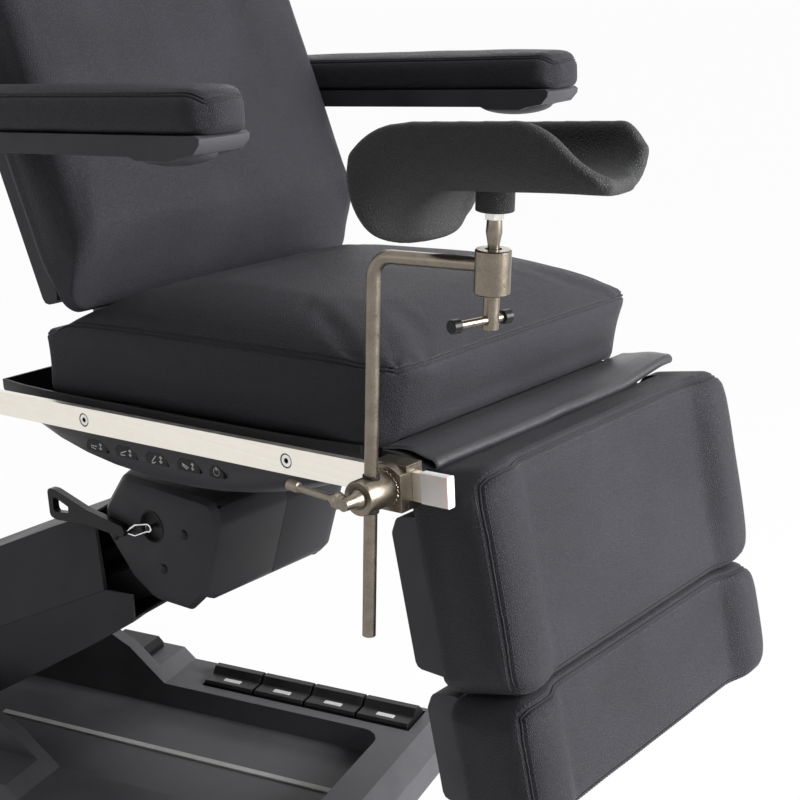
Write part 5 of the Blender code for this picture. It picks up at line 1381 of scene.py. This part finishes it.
def smooth_by_angle():
    """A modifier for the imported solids: joins their faces and smooths the shallow edges."""
    tree = bpy.data.node_groups.new("smooth_by_angle", "GeometryNodeTree")
    tree.interface.new_socket("Geometry", in_out="INPUT", socket_type="NodeSocketGeometry")
    tree.interface.new_socket("Geometry", in_out="OUTPUT", socket_type="NodeSocketGeometry")
    first, last = tree.nodes.new("NodeGroupInput"), tree.nodes.new("NodeGroupOutput")
    weld = add(tree, "GeometryNodeMergeByDistance", {"Geometry": first.outputs[0], "Distance": 0.00001})
    angle = add(tree, "GeometryNodeInputMeshEdgeAngle").outputs["Unsigned Angle"]
    steep = add(tree, "FunctionNodeCompare", {0: angle, 1: math.radians(34)}, operation="GREATER_THAN")
    normals = tree.nodes.new("GeometryNodeSetMeshNormal")
    normals.mode = "SHARPNESS"
    feed(tree, normals.inputs["Mesh"], weld.outputs[0])
    feed(tree, normals.inputs["Remove Custom"], True)
    feed(tree, normals.inputs["Edge Sharpness"], steep.outputs[0])
    feed(tree, normals.inputs["Face Sharpness"], False)
    tree.links.new(normals.outputs[0], last.inputs[0])
    return tree


def round_edges(obj, width):
    """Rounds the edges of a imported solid's shown form; the solid itself stays as it is."""
    weld = obj.modifiers.new("weld", "WELD")
    weld.merge_threshold = 0.00001
    flat = obj.modifiers.new("flat_faces", "DECIMATE")
    flat.decimate_type = "DISSOLVE"
    flat.angle_limit = math.radians(0.5)
    soft = obj.modifiers.new("round_edges", "BEVEL")
    soft.width = width
    soft.segments = 4
    soft.limit_method = "ANGLE"
    soft.angle_limit = math.radians(24)


def make_screw(name, centre):
    """A bright screw head, with painted shade: a dark socket and a dark line where it sits in the rail."""
    made, tree, shader = finish(name)
    lines = use(tree, BRUSHED_LINES, Stretch=TURNED)
    away = vector_calc(tree, "SUBTRACT", own_place(tree), tuple(centre))
    far = vector_calc(tree, "LENGTH", vector_calc(tree, "MULTIPLY", away, (1.0, 0.0, 1.0)))
    # Painted shade: the hex socket and the ring where the head meets the rail are painted near black and not
    # metallic
    socket = calc(tree, "LESS_THAN", far, 0.0036)
    dark = calc(tree, "MAXIMUM", socket, calc(tree, "GREATER_THAN", far, 0.0078))
    colour = tint(tree, lines["Mottle"], (0.66, 0.65, 0.62), (0.84, 0.83, 0.80))
    colour = tint(tree, dark, colour, (0.022, 0.021, 0.020))
    coat(tree, shader, colour, graded(tree, lines["Mottle"], 0.1, 0.22))
    feed(tree, shader.inputs["Metallic"], calc(tree, "SUBTRACT", 1.0, dark))
    relief(tree, shader, lines["Height"], 0.05, 0.0002)
    return made


def finish_nodes():
    """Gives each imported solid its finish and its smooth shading."""
    finishes = {}
    for name in ("rail_screw_1", "rail_screw_2"):
        low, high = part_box(name)
        finishes[name] = make_screw(name + "_head", [(a + b) / 2 for a, b in zip(low, high)])
    for name in ("housing_near", "housing_far"):
        round_edges(NODES[name], 0.010)
    middle, axis, half = bar_axis(NODES["tommy_bar"])
    cap, black = 0.012, (0.010, 0.010, 0.010)
    caps = [(half - cap, 1.0), (-1.0, cap - half)]
    finishes["tommy_bar"] = make_capped_metal("capped_bar", middle, axis, caps, black, False)
    upright = CRUTCH.to_3x3() @ Vector((0, 0, 1))
    nut, bright = [(0.0420, 0.0503)], (0.50, 0.49, 0.47)
    finishes["ball_stud"] = make_capped_metal("stud_and_nut", BALL, upright, nut, bright, True)
    for made, names in NODE_FINISHES:
        for name in names:
            finishes[name] = made
    tree = smooth_by_angle()
    for name, obj in NODES.items():
        made = finishes.get(name, STEEL)
        for place in obj.material_slots:
            place.material = made
        soft = obj.modifiers.new("smooth_by_angle", "NODES")
        soft.node_group = tree


# Studio

WHITE = (1.0, 1.0, 1.0, 1.0)


def lamp(name, spot, aim, size, power):
    """A softbox at a spot, aimed at another, with its power in watts."""
    light = bpy.data.lights.new(name, "AREA")
    light.shape = "RECTANGLE"
    light.size, light.size_y = size
    light.energy = power
    obj = bpy.data.objects.new(name, light)
    SCENE.collection.objects.link(obj)
    obj.location = spot
    obj.rotation_euler = (Vector(aim) - Vector(spot)).to_track_quat("-Z", "Y").to_euler()


def seen_ray(tree):
    """1 for what the camera sees directly, in a gloss or through glass."""
    path = add(tree, "ShaderNodeLightPath").outputs
    both = calc(tree, "MAXIMUM", path["Is Camera Ray"], path["Is Glossy Ray"])
    return calc(tree, "MAXIMUM", both, path["Is Transmission Ray"])


def make_world():
    """A dim white surrounding that the camera sees as plain white."""
    world = bpy.data.worlds.new("studio")
    SCENE.world = world
    world.use_nodes = True
    tree = world.node_tree
    tree.nodes.clear()
    dim = add(tree, "ShaderNodeBackground", {"Color": WHITE, "Strength": 0.10})
    white = add(tree, "ShaderNodeBackground", {"Color": WHITE, "Strength": 1.0})
    blend = add(tree, "ShaderNodeMixShader", {0: seen_ray(tree), 1: dim.outputs[0], 2: white.outputs[0]})
    feed(tree, add(tree, "ShaderNodeOutputWorld").inputs["Surface"], blend.outputs[0])


def make_floor():
    """A pale floor, nearly white to the camera, that keeps a faint shadow."""
    bm = bmesh.new()
    skin(bm, [circle(radius, 96, -0.0008) for radius in (0.001, 2.0, 5.0, 12.0, 40.0)], ends=False)
    made = bpy.data.materials.new("pale_floor")
    made.use_nodes = True
    tree = made.node_tree
    tree.nodes.clear()
    colour = tint(tree, speckle(tree, own_place(tree), 3.0, 3.0), (0.80, 0.80, 0.80), (0.84, 0.84, 0.84))
    matt = add(tree, "ShaderNodeBsdfDiffuse", {"Color": colour})
    glow = add(tree, "ShaderNodeEmission", {"Color": WHITE, "Strength": 1.0})
    share = calc(tree, "MULTIPLY", seen_ray(tree), 0.97)
    blend = add(tree, "ShaderNodeMixShader", {0: share, 1: matt.outputs[0], 2: glow.outputs[0]})
    feed(tree, add(tree, "ShaderNodeOutputMaterial").inputs["Surface"], blend.outputs[0])
    floor = from_bmesh("floor", bm, made, smooth=False)


def make_lamps():
    """A large key light from the front right, and weak fill from above, the left and behind."""
    lamp("key_softbox", (3.3, 0.9, 1.85), (0.3, 0.0, 0.8), (1.6, 2.0), 240)
    lamp("top_softbox", (0.3, -0.2, 3.6), (0.1, 0.0, 0.7), (2.4, 2.0), 18)
    lamp("left_softbox", (-1.2, -3.2, 1.6), (0.0, 0.0, 0.7), (1.6, 1.8), 8)
    lamp("rim_softbox", (-2.0, 2.6, 2.4), (0.0, 0.0, 0.8), (1.6, 1.2), 14)


def make_camera():
    """The photograph's view of the table, as fitted to its rail, seat and leg pads."""
    view = bpy.data.cameras.new("photo_view")
    view.sensor_width = 36.0
    view.lens = 68.146
    view.clip_end = 200.0
    camera = bpy.data.objects.new("photo_view", view)
    SCENE.collection.objects.link(camera)
    turn, fall = math.radians(39.056), math.radians(17.037)
    ahead = Vector((-math.sin(turn) * math.cos(fall), math.cos(turn) * math.cos(fall), -math.sin(fall)))
    camera.location = (1.6286, -1.5944, 1.4079)
    camera.rotation_euler = ahead.to_track_quat("-Z", "Y").to_euler()
    SCENE.camera = camera


# Making everything

SCENE.view_settings.view_transform = "Standard"
shell_points = [ARMREST.inverted() @ v.co for v in NODES["armrest_shell_near"].data.vertices]
ARMREST_BASE = min(point.z for point in shell_points) + 0.004

make_camera()
make_world()
make_floor()
make_lamps()
finish_nodes()

seat = make_seat_cover()
back = make_back_cover()
armrests = [(side, make_armrest_cover(side, sign)) for side, sign in SIDES]
split = LEG_TOP - LEG_UPPER - LEG_SPLIT / 2
upper_top, upper_low = LEG_TOP + LEG_OVER_TOP, split + LEG_SLIT / 2
upper = make_leg_cover("leg_cover_upper", upper_top, upper_top - upper_low)
lower = make_leg_cover("leg_cover_lower", split - LEG_SLIT / 2, LEG_LOWER + LEG_SPLIT / 2 - LEG_SLIT / 2)
swells = [(seat, SEAT_SWELL), (back, BACK_SWELL), (upper, LEG_SWELL), (lower, LEG_SWELL)]
settle_all(swells + [(cover, ARMREST_SWELL) for _, cover in armrests])

finish_seat_cover(seat)
finish_back_cover(back)
for side, cover in armrests:
    finish_armrest_cover(cover, side)
finish_leg_cover(upper, "leg_rest", "leg_pad_upper", True)
finish_leg_cover(lower, "leg_extension", "leg_pad_lower", False)
make_flap()
make_crutch()
make_button_icons()
make_button_frames()
make_pedal_plates()
make_housing_fittings()
make_armrest_bosses()
make_latch_hook()
make_clamp_teeth()
